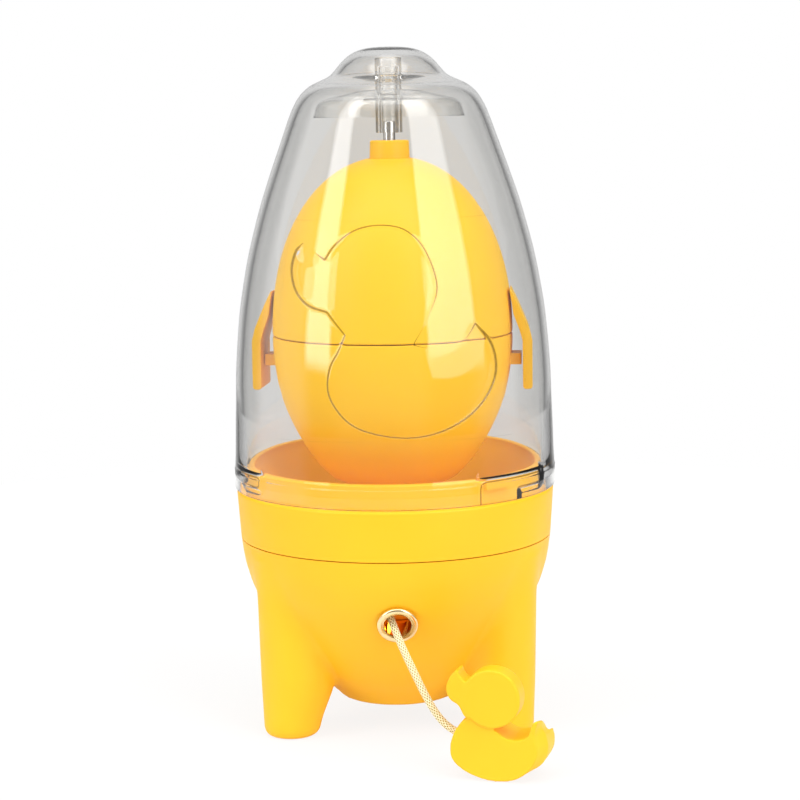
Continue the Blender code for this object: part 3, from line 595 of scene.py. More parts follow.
def bright_metal(name, colour, roughness, stretch):
    """Metal with fine turning marks: noise stretched along the surface and squeezed across it."""
    finish, tree, shader, here = new_finish(name, roughness, Metallic=1.0)
    mapping = linked(tree, "ShaderNodeMapping", Scale=stretch)
    tree.links.new(here, mapping.inputs["Vector"])
    marks = noise(tree, mapping.outputs["Vector"], 400.0)
    dark = tuple(np.array(colour) * 0.85)
    tree.links.new(blended(tree, spread(tree, marks), colour, dark), shader.inputs["Base Color"])
    polish = spread(tree, marks, roughness * 0.7, roughness * 1.4)
    tree.links.new(polish, shader.inputs["Roughness"])
    raised(tree, shader, marks, 0.006)
    return finish


def braided_cord(name, colour, shade):
    """Braid: two families of strands that cross along the tube's own map, with painted shade,
    a darker, warmer colour, in the gaps between them."""
    finish, tree, shader, _ = new_finish(name, 0.7, Sheen_Weight=0.25)
    split = linked(tree, "ShaderNodeSeparateXYZ")
    source = linked(tree, "ShaderNodeTexCoord")
    tree.links.new(source.outputs["UV"], split.inputs["Vector"])
    around = figured(tree, "MULTIPLY", split.outputs["X"], BRAID_STRANDS * 2 * math.pi)
    families = []
    for sign in (1.0, -1.0):
        phase = figured(tree, "MULTIPLY_ADD", split.outputs["Y"], sign * 2 * math.pi, around)
        families.append(figured(tree, "COSINE", phase))
    top = figured(tree, "MAXIMUM", *families)
    # the strands' colour, with painted shade in the gaps between them
    woven = blended(tree, ranged(tree, top, -0.2, 0.75, 0.0, 1.0), shade, colour)
    tree.links.new(woven, shader.inputs["Base Color"])
    raised(tree, shader, top, 0.08)
    return finish


def soft_silicone(name, colour):
    """Silicone: slightly see-through, matt, with a dusty variation in its roughness."""
    finish, tree, shader, here = new_finish(name, 0.55, IOR=1.43, Subsurface_Weight=0.2)
    shader.inputs["Subsurface Scale"].default_value = 0.003
    dull = tuple(np.array(colour) * 0.95)
    drift = spread(tree, noise(tree, here, 40.0))
    tree.links.new(blended(tree, drift, colour, dull), shader.inputs["Base Color"])
    tree.links.new(spread(tree, noise(tree, here, 700.0), 0.45, 0.65), shader.inputs["Roughness"])
    raised(tree, shader, noise(tree, here, 900.0), 0.01)
    return finish


FINISHES = {}


def finish_of(name):
    """A finish by name, made once from the panel's colours."""
    if name in FINISHES:
        return FINISHES[name]
    settings = bpy.context.scene.egg_spinner
    yellow = np.array(settings.plastic_colour)
    makers = {
        "yellow": lambda: moulded_plastic("yellow_plastic", yellow, settings.plastic_gloss),
        # painted light: the capsule's and arms' yellow is made lighter, to make up for the light the
        # cover takes
        "shell": lambda: moulded_plastic("lit_shell_plastic", yellow * (1.0, 1.1, 1.2), 0.42),
        # painted shade: the yellow made darker and more orange for the spool and drive head inside
        # the base
        "deep": lambda: moulded_plastic("deep_yellow_plastic", yellow * (0.9, 0.8, 0.8), 0.4),
        "clear": lambda: clear_plastic("clear_plastic", settings.cover_tint, False),
        # the cover's finish paints shade lines along its steps
        "cover": lambda: clear_plastic("cover_plastic", settings.cover_tint, True),
        "steel": lambda: bright_metal("steel", (0.66, 0.66, 0.67), 0.18, (1.0, 1.0, 12.0)),
        "brass": lambda: bright_metal("brass", (0.93, 0.74, 0.42), 0.12, (1.0, 1.0, 1.0)),
        "cord": lambda: braided_cord("cord_braid", settings.cord_colour, settings.cord_shade),
        "nylon": lambda: moulded_plastic("natural_nylon", (0.82, 0.79, 0.70), 0.45),
        "silicone": lambda: soft_silicone("silicone", (0.80, 0.80, 0.77)),
    }
    FINISHES[name] = makers[name]()
    return FINISHES[name]


# base


def bowl_radius(height):
    """The bowl's outer radius at a height, and how steeply it grows there."""
    curve = smooth_curve(BOWL_OUTLINE, 120)
    radius = np.interp(height, curve[:, 1], curve[:, 0])
    slope = np.gradient(curve[:, 0], curve[:, 1])
    return radius, np.interp(height, curve[:, 1], slope)


def leg_section(height):
    """Where a leg's round section is centred, and its radius, at a height."""
    flare = LEG_FLARE * smooth_step(height / LEG_FLARE_HEIGHT)
    outer = LEG_OUTER + LEG_OUTER_SLOPE * height
    inner = LEG_INNER - flare
    return (outer + inner) / 2, (outer - inner) / 2


def soft_union(a, b, reach):
    """The nearer of two surfaces, blended over a reach where they are equally near."""
    share = np.clip(0.5 + 0.5 * (b - a) / reach, 0, 1)
    return b + (a - b) * share - reach * share * (1 - share)


def housing_distance(points):
    """Distance outside the bowl with its legs: each is a round section that changes with
    height, cut off at its floor with a rounded edge, and the legs run into the bowl softly."""
    x, y, z = points.T
    radius, slope = bowl_radius(np.clip(z, 7.0, 62.0))
    wall = (np.hypot(x, y) - radius) / np.sqrt(1 + slope**2)
    total = -soft_union(-wall, z - BOWL_FLOOR, 1.6)
    for degrees in LEG_BEARINGS:
        centre, reach = leg_section(np.clip(z, 0, LEG_TOP))
        turn = math.radians(degrees)
        away = np.hypot(x - centre * math.cos(turn), y - centre * math.sin(turn)) - reach
        leg = -soft_union(-away, z, 2 * SOLE_EDGE)
        leg = np.maximum(leg, z - LEG_TOP - 8 * (45.2 - np.hypot(x, y)).clip(0, 1))
        total = soft_union(total, leg, FILLET)
    return total


def settle(points, level, rounds=5):
    """Move points along the gradient of the housing's distance until it equals a level."""
    points = points.copy()
    step = 0.02
    for _ in range(rounds):
        here = housing_distance(points)
        slopes = [
            (housing_distance(points + step * axis) - housing_distance(points - step * axis))
            for axis in np.eye(3)
        ]
        slope = np.stack(slopes, -1) / (2 * step)
        size = np.maximum((slope**2).sum(1), 0.25)
        points -= np.clip((here - level) / size, -1.5, 1.5)[:, None] * slope
    return points


def housing_shell(name):
    """The bowl and legs as one closed skin outside and one inside: rough solids made into an
    even mesh, whose points then settle on the smooth surface and on the same surface moved in
    by the wall."""
    curve = smooth_curve(BOWL_OUTLINE, 40)
    bowl = np.vstack(((0, BOWL_FLOOR), curve, (0, curve[-1, 1])))
    parts = [turned("rough_bowl", bowl, 96)]
    heights = np.array([0.0, 1.5, 6.0, 12.0, 18.0, 30.0, 50.0])
    centre, reach = leg_section(heights)
    reach = reach - np.array([1.0, 0, 0, 0, 0, 0, 0])
    outline = np.vstack(((0, 0.0), np.column_stack((reach, heights)), (0, 50.0)))
    shift = np.concatenate(([centre[0]], centre, [centre[-1]]))
    angles = np.linspace(0, 2 * math.pi, 48, endpoint=False)
    for degrees in LEG_BEARINGS:
        turn = math.radians(degrees)
        points = turned_points(outline, angles)
        points[..., 0] += shift[:, None] * math.cos(turn)
        points[..., 1] += shift[:, None] * math.sin(turn)
        parts.append(make_piece("rough_leg", points, grid_faces(*points.shape[:2], False)))
    rough = joined("rough", parts)
    even_mesh(rough, VOXEL)
    mesh = applied(rough).data
    bpy.data.objects.remove(rough, do_unlink=True)
    points = points_of(mesh)
    faces = np.empty(len(mesh.polygons) * 4, int)
    mesh.polygons.foreach_get("vertices", faces)
    faces = faces.reshape(-1, 4)
    below = points[:, 2] < 60.0
    outer = points.copy()
    outer[below] = settle(points[below], 0.0)
    inner = points.copy()
    inner[below] = settle(outer[below], -BOWL_WALL, 8)
    inner[~below, :2] *= 0.93
    inner[:, 2] = np.minimum(inner[:, 2], 60.5)
    skins = np.vstack((outer, inner))
    both = np.vstack((faces, faces[:, ::-1] + len(points)))
    return make_piece(name, skins, both, merge=False)


def round_bar(name, radius, low, high, at=(0.0, 0.0), columns=32):
    """An upright round bar."""
    bar = turned(name, [(0, low), (radius, low), (radius, high), (0, high)], columns)
    return moved(bar, Matrix.Translation((*at, 0)))


def eyelet_frame():
    """The eyelet's place on the bowl's face, and the turn of +Z to its axis."""
    tilt = math.radians(EYELET_TILT)
    axis = Vector((0, -math.cos(tilt), -math.sin(tilt)))
    turn = Vector((0, 0, 1)).rotation_difference(axis).to_matrix().to_4x4()
    return Matrix.Translation((0, -EYELET_REACH, EYELET_HEIGHT)) @ turn


def colour_setting(name, description, colour):
    """A colour on the panel."""
    return FloatVectorProperty(
        name=name, description=description, subtype="COLOR", default=colour, min=0.0, max=1.0
    )


def size_setting(name, description, size, most):
    """A size on the panel, in metres."""
    return FloatProperty(
        name=name,
        description=description,
        subtype="DISTANCE",
        unit="LENGTH",
        default=size,
        min=0.0,
        max=most,
    )


class SettingsOfEggSpinner(bpy.types.PropertyGroup):
    """Sizes and colours that can be changed before the pieces are built."""

    plastic_colour: colour_setting(
        "Plastic colour", "Colour of the base, capsule, arms and pull", (0.98, 0.52, 0.012)
    )
    plastic_gloss: FloatProperty(
        name="Plastic roughness",
        description="Roughness of the yellow plastic",
        subtype="FACTOR",
        default=0.45,
        min=0.0,
        max=1.0,
    )
    cover_tint: colour_setting(
        "Cover tint", "Colour that light keeps on its way through the cover", (0.965, 0.962, 0.95)
    )
    relief_centre: size_setting(
        "Relief at the middle", "How far the duck stands out at the cover's front", 0.00012, 0.001
    )
    relief_side: size_setting(
        "Relief at the sides", "How much further it stands out at its two ends", 0.00055, 0.002
    )
    cord_colour: colour_setting("Cord colour", "Colour of the cord's strands", (0.93, 0.83, 0.52))
    # painted shade: the colour in the braid's gaps between the strands
    cord_shade: colour_setting("Cord shade", "Colour between the strands", (0.42, 0.27, 0.06))
    light_strength: FloatProperty(
        name="Light",
        description="Strength of the studio's light",
        default=1.0,
        min=0.0,
        soft_max=4.0,
    )


class BuildCamera(bpy.types.Operator):
    """Set the camera at the front, a little above the object"""

    bl_idname = "egg_spinner.camera"
    bl_label = "Camera"

    def execute(self, context):
        data = bpy.data.cameras.new("camera")
        data.lens = LENS
        data.sensor_width = SENSOR
        data.shift_x = LENS_SHIFT
        camera = new_object("camera", data)
        tilt = Matrix.Rotation(math.radians(90.0 - CAMERA_DOWN), 4, "X")
        roll = Matrix.Rotation(math.radians(CAMERA_ROLL), 4, "Z")
        camera.matrix_world = Matrix.Translation(CAMERA_PLACE) @ tilt @ roll
        context.scene.camera = camera
        return {"FINISHED"}


def cord_tube(name, route, diameter, rings, sides=32):
    """A braided tube: a circle carried along the route, its radius rising over whichever of
    two crossing families of strands is on top. Its map has the turn in X and the number of
    braid repeats along it in Y."""
    path = smooth_curve(route, rings)
    along = np.gradient(path, axis=0)
    along /= np.linalg.norm(along, axis=1)[:, None]
    across = np.cross(along, (0.0, 0.0, 1.0))
    across /= np.linalg.norm(across, axis=1)[:, None]
    up = np.cross(across, along)
    turn = np.linspace(0, 2 * math.pi, sides + 1)
    repeats = travelled(path) / BRAID_LENGTH
    phase = 2 * math.pi * repeats[:, None]
    first = np.cos(BRAID_STRANDS * turn + phase)
    second = np.cos(BRAID_STRANDS * turn - phase)
    radius = diameter / 2 - BRAID_DEPTH * (1 - np.maximum(first, second))
    ring = across[:, None] * np.cos(turn)[:, None] + up[:, None] * np.sin(turn)[:, None]
    points = path[:, None] + radius[..., None] * ring
    tips = np.broadcast_to(path[[0, -1], None], (2, sides + 1, 3))
    points = np.concatenate((tips[:1], points, tips[1:]))
    faces = grid_faces(*points.shape[:2], False, False)
    levels = np.concatenate((repeats[:1], repeats, repeats[-1:]))
    map_points = np.stack(np.meshgrid(turn / (2 * math.pi), levels), -1).reshape(-1, 2)
    piece = make_piece(name, points, faces, merge=False)
    layer = piece.data.uv_layers.new(name="map")
    layer.data.foreach_set("uv", map_points[faces.ravel()].ravel())
    mended(piece.data, SAME_POINT / 10)
    return piece, path


class BuildCord(bpy.types.Operator):
    """Build the free cord, the stretch inside the base and the turns on the spool"""

    bl_idname = "egg_spinner.cord"
    bl_label = "Cord"

    def execute(self, context):
        cord, path = cord_tube("free_cord", CORD_ROUTE, CORD_DIAMETER, 260)
        placed(cord, None, "cord", "pull_cord", 80)
        lead, _ = cord_tube("inner_cord", LEAD_ROUTE, CORD_DIAMETER, 120)
        placed(lead, "base", "cord", "cord_lead", 80)
        low, high = (np.array(corner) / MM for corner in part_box("cord_winding"))
        rows = np.linspace(low[2], high[2], 67)
        turns = 0.45 * np.abs(np.sin(np.pi * (rows - low[2]) / (high[2] - low[2]) * 6))
        outer = np.column_stack((high[0] - 0.55 + turns, rows))
        outline = np.vstack(((SPOOL_CORE, low[2]), outer, (SPOOL_CORE, high[2])))
        winding = turned("wound_cord", outline, 96)
        placed(winding, "spindle", "cord", "cord_winding")
        duck = build_pull()
        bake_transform(cord)
        return {"FINISHED"}


def pull_frame():
    """Where the pull stands, turned a little from the front."""
    turn = Matrix.Rotation(math.radians(PULL_YAW), 4, "Z")
    upright = Matrix.Rotation(math.radians(90), 4, "X")
    return Matrix.Translation((*PULL_FOOT, 0)) @ turn @ upright


def flared(outline, depth):
    """The body's outline at a depth: the tail is wider behind its face, and its tip falls
    with the square of the depth."""
    tail = smooth_step((outline[:, 0] - PULL_TAIL_START) / 4.0)
    tip = smooth_step((outline[:, 1] - PULL_TIP_START) / 5.0)
    wider = PULL_TAIL_FLARE * min(1.0, depth / PULL_TAIL_DEPTH) * tail * (1 - 0.8 * tip)
    lower = PULL_TIP_DROP * depth**2 * tail * tip
    return outline + np.column_stack((wider, -lower))


def build_pull():
    """The duck: a body whose tail flares behind its face, a round head and a bill, made one
    even mesh and smoothed, so that its edges are round."""
    body = smooth_curve(PULL_BODY_OUTLINE, 120, closed=True)
    depths = (0.0, PULL_TAIL_DEPTH, 6.0, 8.0, 10.0, PULL_BODY_DEPTH - 1.5, PULL_BODY_DEPTH)
    layers = [(flared(body, depth), -depth) for depth in depths]
    bill = smooth_curve(PULL_BILL_OUTLINE, 60, closed=True)
    turn = np.linspace(0, 2 * math.pi, 72, endpoint=False)
    head = np.column_stack((np.cos(turn), np.sin(turn))) * PULL_HEAD_RADIUS + PULL_HEAD_CENTRE
    parts = [
        layered("body", layers),
        slab("head", head, -PULL_HEAD_DEPTH, PULL_HEAD_PROUD),
        slab("bill", bill, 0.1 - PULL_HEAD_DEPTH, PULL_HEAD_PROUD - 0.1),
    ]
    duck = joined("duck_pull", parts)
    even_mesh(duck, PULL_VOXEL)
    soften = duck.modifiers.new("soften", "SMOOTH")
    soften.factor = 0.5
    soften.iterations = 7
    moved(applied(duck), pull_frame())
    lift = PULL_LOW - points_of(duck.data)[:, 2].min()
    moved(duck, Matrix.Translation((0, 0, lift)))
    return placed(duck, "pull", "yellow", "pull_handle", 60)


class BuildBase(bpy.types.Operator):
    """Build the bowl with its legs, the collar, the eyelet and its washer"""

    bl_idname = "egg_spinner.base"
    bl_label = "Base"

    def execute(self, context):
        housing = housing_shell("bowl_and_legs")
        bosses = [turned("boss", [(4.8, 7.8), (7.2, 7.8), (7.0, 16.0), (4.8, 16.0)], 48)]
        for degrees in LEG_BEARINGS:
            bosses.append(round_bar("boss", 4.0, 7.8, 12.0, bearing(degrees, SCREW_RING)))
        combine(housing, joined("bosses", bosses), "UNION")
        top = [(0, BOWL_TOP), (60, BOWL_TOP), (60, 80), (0, 80)]
        cutters = [turned("top", top, 32)]
        for degrees in LEG_BEARINGS:
            step = [(0, 4), (2.6, 4), (2.6, 9), (1.5, 9), (1.5, 14), (0, 14)]
            hole = turned("hole", step, 32)
            moved(hole, Matrix.Translation((*bearing(degrees, SCREW_RING), 0)))
            cutters.append(hole)
        eyelet_hole = round_bar("hole", 4.6, -8.0, 8.0, columns=48)
        cutters.append(moved(eyelet_hole, eyelet_frame()))
        combine(housing, joined("cutters", cutters))
        placed(housing, "base", "yellow", "lower_housing", 50)

        collar = turned("collar", collar_outline(), 192)
        lugs = []
        for k in range(3):
            middle = LUG_BEARING + k * 120.0
            ends = middle - LUG_HALF_ANGLE, middle + LUG_HALF_ANGLE
            lugs.append(ring_piece("lug", *LUG_REACH, *LUG_HEIGHTS, *ends))
        for degrees in LEG_BEARINGS:
            post = [(1.4, 12.3), (2.8, 12.3), (2.8, 57.8), (0, 57.8), (0, 21.5), (1.4, 21.5)]
            post = turned("post", post, 32)
            lugs.append(moved(post, Matrix.Translation((*bearing(degrees, SCREW_RING), 0))))
        combine(collar, joined("lugs", lugs), "UNION")
        placed(collar, "base", "yellow", "base_collar", 40)

        face = EYELET_FACE
        ring = [
            (3.7, -4.6, 0.2),
            (4.3, -4.6, 0.2),
            (4.3, face, 0.0),
            (5.8, face, 0.25),
            (5.7, face + 0.9, 0.7),
            (4.9, face + 1.35, 0.8),
            (3.75, face + 0.9, 0.8),
        ]
        eyelet = moved(turned("brass_eyelet", rounded(ring), 96), eyelet_frame())
        placed(eyelet, "base", "brass", "cord_eyelet", 50)
        washer = [(4.6, -4.4, 0.1), (6.0, -4.4, 0.2), (6.0, -3.6, 0.2), (4.6, -3.6, 0.1)]
        washer = moved(turned("brass_washer", rounded(washer), 64), eyelet_frame())
        placed(washer, "base", "brass", "eyelet_washer")
        return {"FINISHED"}


def ring_piece(name, inner, outer, low, high, start, end, steps=12):
    """A piece of a flat ring between two bearings."""
    angles = np.radians(np.linspace(start, end, steps + 1))
    out = np.column_stack((np.cos(angles), np.sin(angles)))
    return slab(name, np.vstack((out * outer, out[::-1] * inner)), low, high)


def collar_outline():
    """The band, ledge, spigot, rim, dish, bush boss, underside and locating skirt."""
    radii = np.linspace(40.9, 9.0, 26)
    share = (radii - 9.0) / (41.2 - 9.0)
    dish = 58.6 + (76.4 - 58.6) * share**2.6
    front = rounded(
        [
            (45.35, 55.8, 0.3), (46.3, 69.9, 0.8), (43.3, 70.0, 0.3), (43.3, 76.9, 0.6),
            (41.2, 76.9, 0.6),
            (radii[0], dish[0], 0.0),
        ],
        closed=False,
    )
    under = np.column_stack((radii, dish - 2.0))[::-1][:22]
    boss = [(7.2, 58.6), (7.2, 60.0), (4.8, 60.0), (4.8, 52.3), (7.2, 52.3), (7.2, 56.6)]
    skirt = [(40.6, 65.4), (40.6, 52.5), (42.4, 52.5), (42.4, 55.8)]
    return np.vstack((front, np.column_stack((radii, dish))[1:], boss, under, skirt))


# cover


def cover_profile():
    """The cover's outer outline, densely: radius and height from the lip to the crown."""
    return smooth_curve(COVER_OUTLINE, 500)


def duck_outline():
    """The duck's outline on the cover, as distance round the cover and height."""
    curve = cover_profile()
    runs = [smooth_curve(run, 4 * len(run) if len(run) > 2 else 5)[:-1] for run in DUCK_RUNS]
    points = np.vstack(runs)
    radius = np.interp(points[:, 1], curve[:, 1], curve[:, 0])
    return np.column_stack((np.radians(points[:, 0]) * radius, points[:, 1]))


def duck_line(azimuth, height, radius):
    """For points of the cover: the distance inside the duck's outline, and how much of the
    outline's step is left there, which fades at the back of the neck and above the bill."""
    across = azimuth * radius
    inside = signed_distance(across, height, duck_outline())
    left = np.ones_like(inside)
    for degrees, level, reach in DUCK_FADES:
        away = np.hypot(across - math.radians(degrees) * 43.0, height - level)
        left = left * smooth_step((away - 0.35 * reach) / (0.65 * reach))
    return inside, left


def relief(azimuth, height, radius):
    """How far the duck stands out of the cover: a plateau inside the outline, lowest at the
    front and higher towards its sides, because it is flatter than the cover."""
    settings = bpy.context.scene.egg_spinner
    inside, left = duck_line(azimuth, height, radius)
    plateau = smooth_step((inside + 0.35) / 0.7) * left
    rise = settings.relief_centre + settings.relief_side * (azimuth * radius / 28.0) ** 2
    return plateau * rise / MM


def mark_shade_lines(cover, rows, front):
    """Write each point's distance from the nearest line of the relief or the tracks, and
    that line's width, in millimetres, for the cover's finish, which paints shade along these
    lines; the lip's outside gets its height above the foot, for a painted shade line round its
    lower edge. Other points are far away."""
    x, y, z = points_of(cover.data).T
    azimuth, radius = np.arctan2(x, -y), np.hypot(x, y)
    distance, width = np.full(len(x), 50.0), np.full(len(x), 0.3)
    level = cover_profile()
    outer = radius > np.interp(z, level[:, 1], level[:, 0]) - 0.7
    near = outer & (np.abs(azimuth) < front) & (z > rows[0]) & (z < rows[1])
    inside, left = duck_line(azimuth[near], z[near], radius[near])
    distance[near] = inside
    # the painted shade lines are wider towards the sides, and thin where the step fades
    side = np.abs(azimuth[near]) / math.radians(40)
    width[near] = (0.24 + 0.5 * side**2.5) * np.maximum(left, 0.02)
    bore = (z < BORE_TOP) & (radius < LIP_BORE + TRACK_DEPTH + 0.05)
    distance[bore] = inside_tracks(azimuth[bore], z[bore])
    # a painted shade line round the lip's lower edge
    foot = (z < LIP_TOP) & (radius > LIP_RADIUS - 0.5)
    distance[foot] = z[foot] - LIP_BOTTOM - 0.1
    for name, values in (("shade_line_distance", distance), ("shade_line_width", width)):
        layer = cover.data.attributes.new(name, "FLOAT", "POINT")
        layer.data.foreach_set("value", values)


def inside_tracks(azimuth, height):
    """The distance inside the outline of the nearest bayonet track in the lip's bore."""
    azimuth = np.where(azimuth < math.radians(-100), azimuth + 2 * math.pi, azimuth)
    nearest = np.full(np.broadcast(azimuth, height).shape, -50.0)
    for k in (-1, 0, 1):
        corners = [(math.radians(a + 120 * k) * LIP_BORE, z, r) for a, z, r in TRACK_OUTLINE]
        inside = signed_distance(azimuth * LIP_BORE, height, rounded(corners))
        nearest = np.maximum(nearest, inside)
    return nearest


def track_depth(azimuth, height):
    """How deep the tracks are cut into the bore: full depth inside the outline and a margin
    round it, then an even slope, gentle enough for the plastic to stay clear."""
    inside = inside_tracks(azimuth, height) + TRACK_MARGIN
    return TRACK_DEPTH * np.clip(1 + inside / TRACK_SLOPE, 0, 1)


def cover_columns():
    """Azimuths round the cover, close together where the duck and the tracks are."""
    runs = [(-92, -44, 1.0), (-44, 42, 0.5), (42, 66, 1.0), (66, 146, 2.0)]
    runs += [(146, 188, 1.0), (188, 268, 2.0)]
    return np.radians(np.concatenate([np.arange(a, b, step) for a, b, step in runs]))


def cover_dome_piece():
    """The cover: its outline carried round the axis, outside, then back down its inside. The
    duck is added to the outer radius, and the tracks to the lip's bore."""
    curve = cover_profile()
    lip = rounded(
        [
            (LIP_BORE, LIP_BOTTOM, 0.0),
            (LIP_RADIUS, LIP_BOTTOM, 0.35),
            (LIP_RADIUS, LIP_TOP, 0.35),
            (46.62, LIP_TOP + 0.15, 0.2),
            (46.6, 77.2, 0.0),
        ],
        closed=False,
        steps=3,
    )
    travel = travelled(curve)
    level = curve[:, 1]
    marks = [(BORE_TOP, 89.5, 2.0), (89.5, 148.8, 0.72), (148.8, 174.0, 2.4)]
    heights = np.concatenate([np.arange(a, b, step) for a, b, step in marks])
    stations = np.interp(heights, level, travel)
    crown = np.linspace(np.interp(174.0, level, travel), travel[-1], 44)
    stations = np.concatenate((stations, crown))
    outside = np.column_stack([np.interp(stations, travel, curve[:, i]) for i in (0, 1)])
    outside[-1, 0] = 0.0
    inside = inset(curve, COVER_WALL)
    taper = 1 - smooth_step((inside[:, 1] - BORE_TOP) / BORE_TAPER)
    inside[:, 0] = inside[:, 0] * (1 - taper) + LIP_BORE * taper
    inside = inside[(inside[:, 1] > BORE_TOP + 0.1) & (inside[:, 0] > 0.3)]
    inside = inside[:: max(1, len(inside) // 56)][::-1]
    bore = np.arange(BORE_TOP, LIP_BOTTOM, -0.32)
    bore = np.column_stack((np.full(len(bore), LIP_BORE), bore))
    outline = np.vstack(
        (lip, outside, [(0.0, CROWN_TOP - COVER_WALL)], inside, bore)
    )
    azimuth = cover_columns()
    radius = np.repeat(outline[:, :1], len(azimuth), axis=1)
    height = np.repeat(outline[:, 1:], len(azimuth), axis=1)
    front = np.abs(azimuth) < math.radians(46)
    rows = np.zeros(len(outline), bool)
    rows[len(lip) : len(lip) + len(outside)] = True
    rows &= (outline[:, 1] > 89.0) & (outline[:, 1] < 149.5)
    patch = np.ix_(rows, front)
    around = np.broadcast_to(azimuth[front], radius[patch].shape)
    radius[patch] += relief(around, height[patch], radius[patch])
    rows = np.zeros(len(outline), bool)
    rows[0] = True
    rows[-len(bore) :] = True
    around = np.broadcast_to(azimuth, radius[rows].shape)
    radius[rows] += track_depth(around, height[rows])
    points = np.stack((radius * np.sin(azimuth), -radius * np.cos(azimuth), height), -1)
    cover = make_piece("cover", points, grid_faces(*points.shape[:2], True))
    mark_shade_lines(cover, (88.5, 150.0), math.radians(45.5))
    return cover


def stem_outline():
    """The stem's tube, its blind bore, and the thin shoulder that fits inside the crown."""
    shoulder = smooth_curve([(21.8, 176.5), (20.6, 180.4), (17.9, 182.3), (10.4, 184.9)], 24)
    under = inset(shoulder, SHOULDER_WALL)
    under[0, 1] = shoulder[0, 1]
    tube = rounded(
        [
            (0.0, 190.5, 0.0), (2.1, 190.4, 0.3), (2.1, 171.9, 0.25), (3.87, 171.9, 0.25),
            (3.87, 183.4, 0.8),
            tuple(under[-1]) + (0.0,),
        ],
        closed=False,
    )
    upper = rounded(
        [
            tuple(shoulder[-1]) + (0.0,),
            (3.87, 185.8, 0.8),
            (3.87, 193.6, 0.3),
            (0.0, 193.6, 0.0),
        ],
        closed=False,
    )
    return np.vstack((tube, under[::-1][1:], shoulder, upper[1:]))


class BuildCover(bpy.types.Operator):
    """Build the clear cover with its duck and tracks, and the stem in its crown"""

    bl_idname = "egg_spinner.cover"
    bl_label = "Cover"

    def execute(self, context):
        cover = cover_dome_piece()
        placed(cover, "cover_shell", "cover", "cover_dome", 62)
        stem = turned("cover_stem_tube", stem_outline(), 96)
        placed(stem, "cover_crown", "clear", "cover_stem", 50)
        return {"FINISHED"}


# capsule


def half_egg(radius, reach, power, count, stop=1.0):
    """(radius, distance from the seam) down a half egg: a superellipse from seam to pole."""
    share = np.sin(np.linspace(0, 1, count) * math.pi / 2) * stop
    return radius * (1 - share**power) ** (1 / power), share * reach


def lower_shell_outline():
    """The lower half's outside, foot, hub with its socket's top, and inside."""
    seam = SEAM - SEAM_GAP
    stop = (SEAM - CAPSULE_FOOT) / CAPSULE_DROP
    across, down = half_egg(CAPSULE_RADIUS, CAPSULE_DROP, 2.0, 54, stop)
    outside = np.column_stack((across, seam - down))[1:-1]
    edge = [(CAPSULE_RADIUS - 0.35, seam), (CAPSULE_RADIUS - 0.05, seam - 0.3)]
    room = CAPSULE_RADIUS - CAPSULE_WALL, CAPSULE_DROP - CAPSULE_WALL
    across, down = half_egg(*room, 2.0, 40, 0.93)
    inside = np.column_stack((across, seam - down))[::-1]
    inside = inside[inside[:, 1] > 73.6]
    foot = [(9.0, 65.8), (9.0, 63.8), (8.6, 63.4), (0.0, 63.4)]
    return np.vstack((edge, outside[outside[:, 0] > 9.6], foot, [(0.0, 73.4), (9.0, 73.4)], inside))


def upper_shell_outline():
    """The upper half's outside, its boss with a soft root, and its inside."""
    seam = SEAM + SEAM_GAP
    across, rise = half_egg(CAPSULE_RADIUS, CAPSULE_RISE, CAP_POWER, 70)
    outside = np.column_stack((across, seam + rise))[1:]
    outside = outside[outside[:, 0] > BOSS_RADIUS + 0.5]
    edge = [(CAPSULE_RADIUS - 0.35, seam), (CAPSULE_RADIUS - 0.05, seam + 0.3)]
    boss = rounded(
        [
            tuple(outside[-1]) + (0.0,),
            (BOSS_RADIUS + 0.2, 163.9, 0.5),
            (BOSS_RADIUS, BOSS_TOP, 0.6),
            (2.02, BOSS_TOP, 0.3),
            (2.02, 160.2, 0.0),
            (0.0, 160.2, 0.0),
        ],
        closed=False,
    )
    room = CAPSULE_RADIUS - CAPSULE_WALL, CAPSULE_RISE - CAPSULE_WALL
    across, rise = half_egg(*room, CAP_POWER, 50)
    inside = np.column_stack((across, seam + rise))[::-1]
    inside = inside[inside[:, 0] > 6.0]
    under = [(0.0, 159.0), (5.9, 159.0), (5.9, 161.0)]
    return np.vstack((edge, outside, boss[1:], under, inside))


def liner_outline(up):
    """A soft cup: the room inside the half shell outside, half an egg inside."""
    reach, power, depth = (CAPSULE_RISE, CAP_POWER, 31.0) if up else (CAPSULE_DROP, 2.0, 29.0)
    sign = 1 if up else -1
    seam = SEAM + sign * (SEAM_GAP + 0.2)
    room = CAPSULE_RADIUS - CAPSULE_WALL - 0.5
    across, out = half_egg(room, reach - CAPSULE_WALL - 0.6, power, 40, 0.84)
    outside = np.column_stack((across, seam + sign * out))
    across, out = half_egg(24.0, depth, 2.0, 40)
    inside = np.column_stack((across, seam + sign * out))[::-1]
    return np.vstack((outside, [(0.0, outside[-1, 1])], inside))


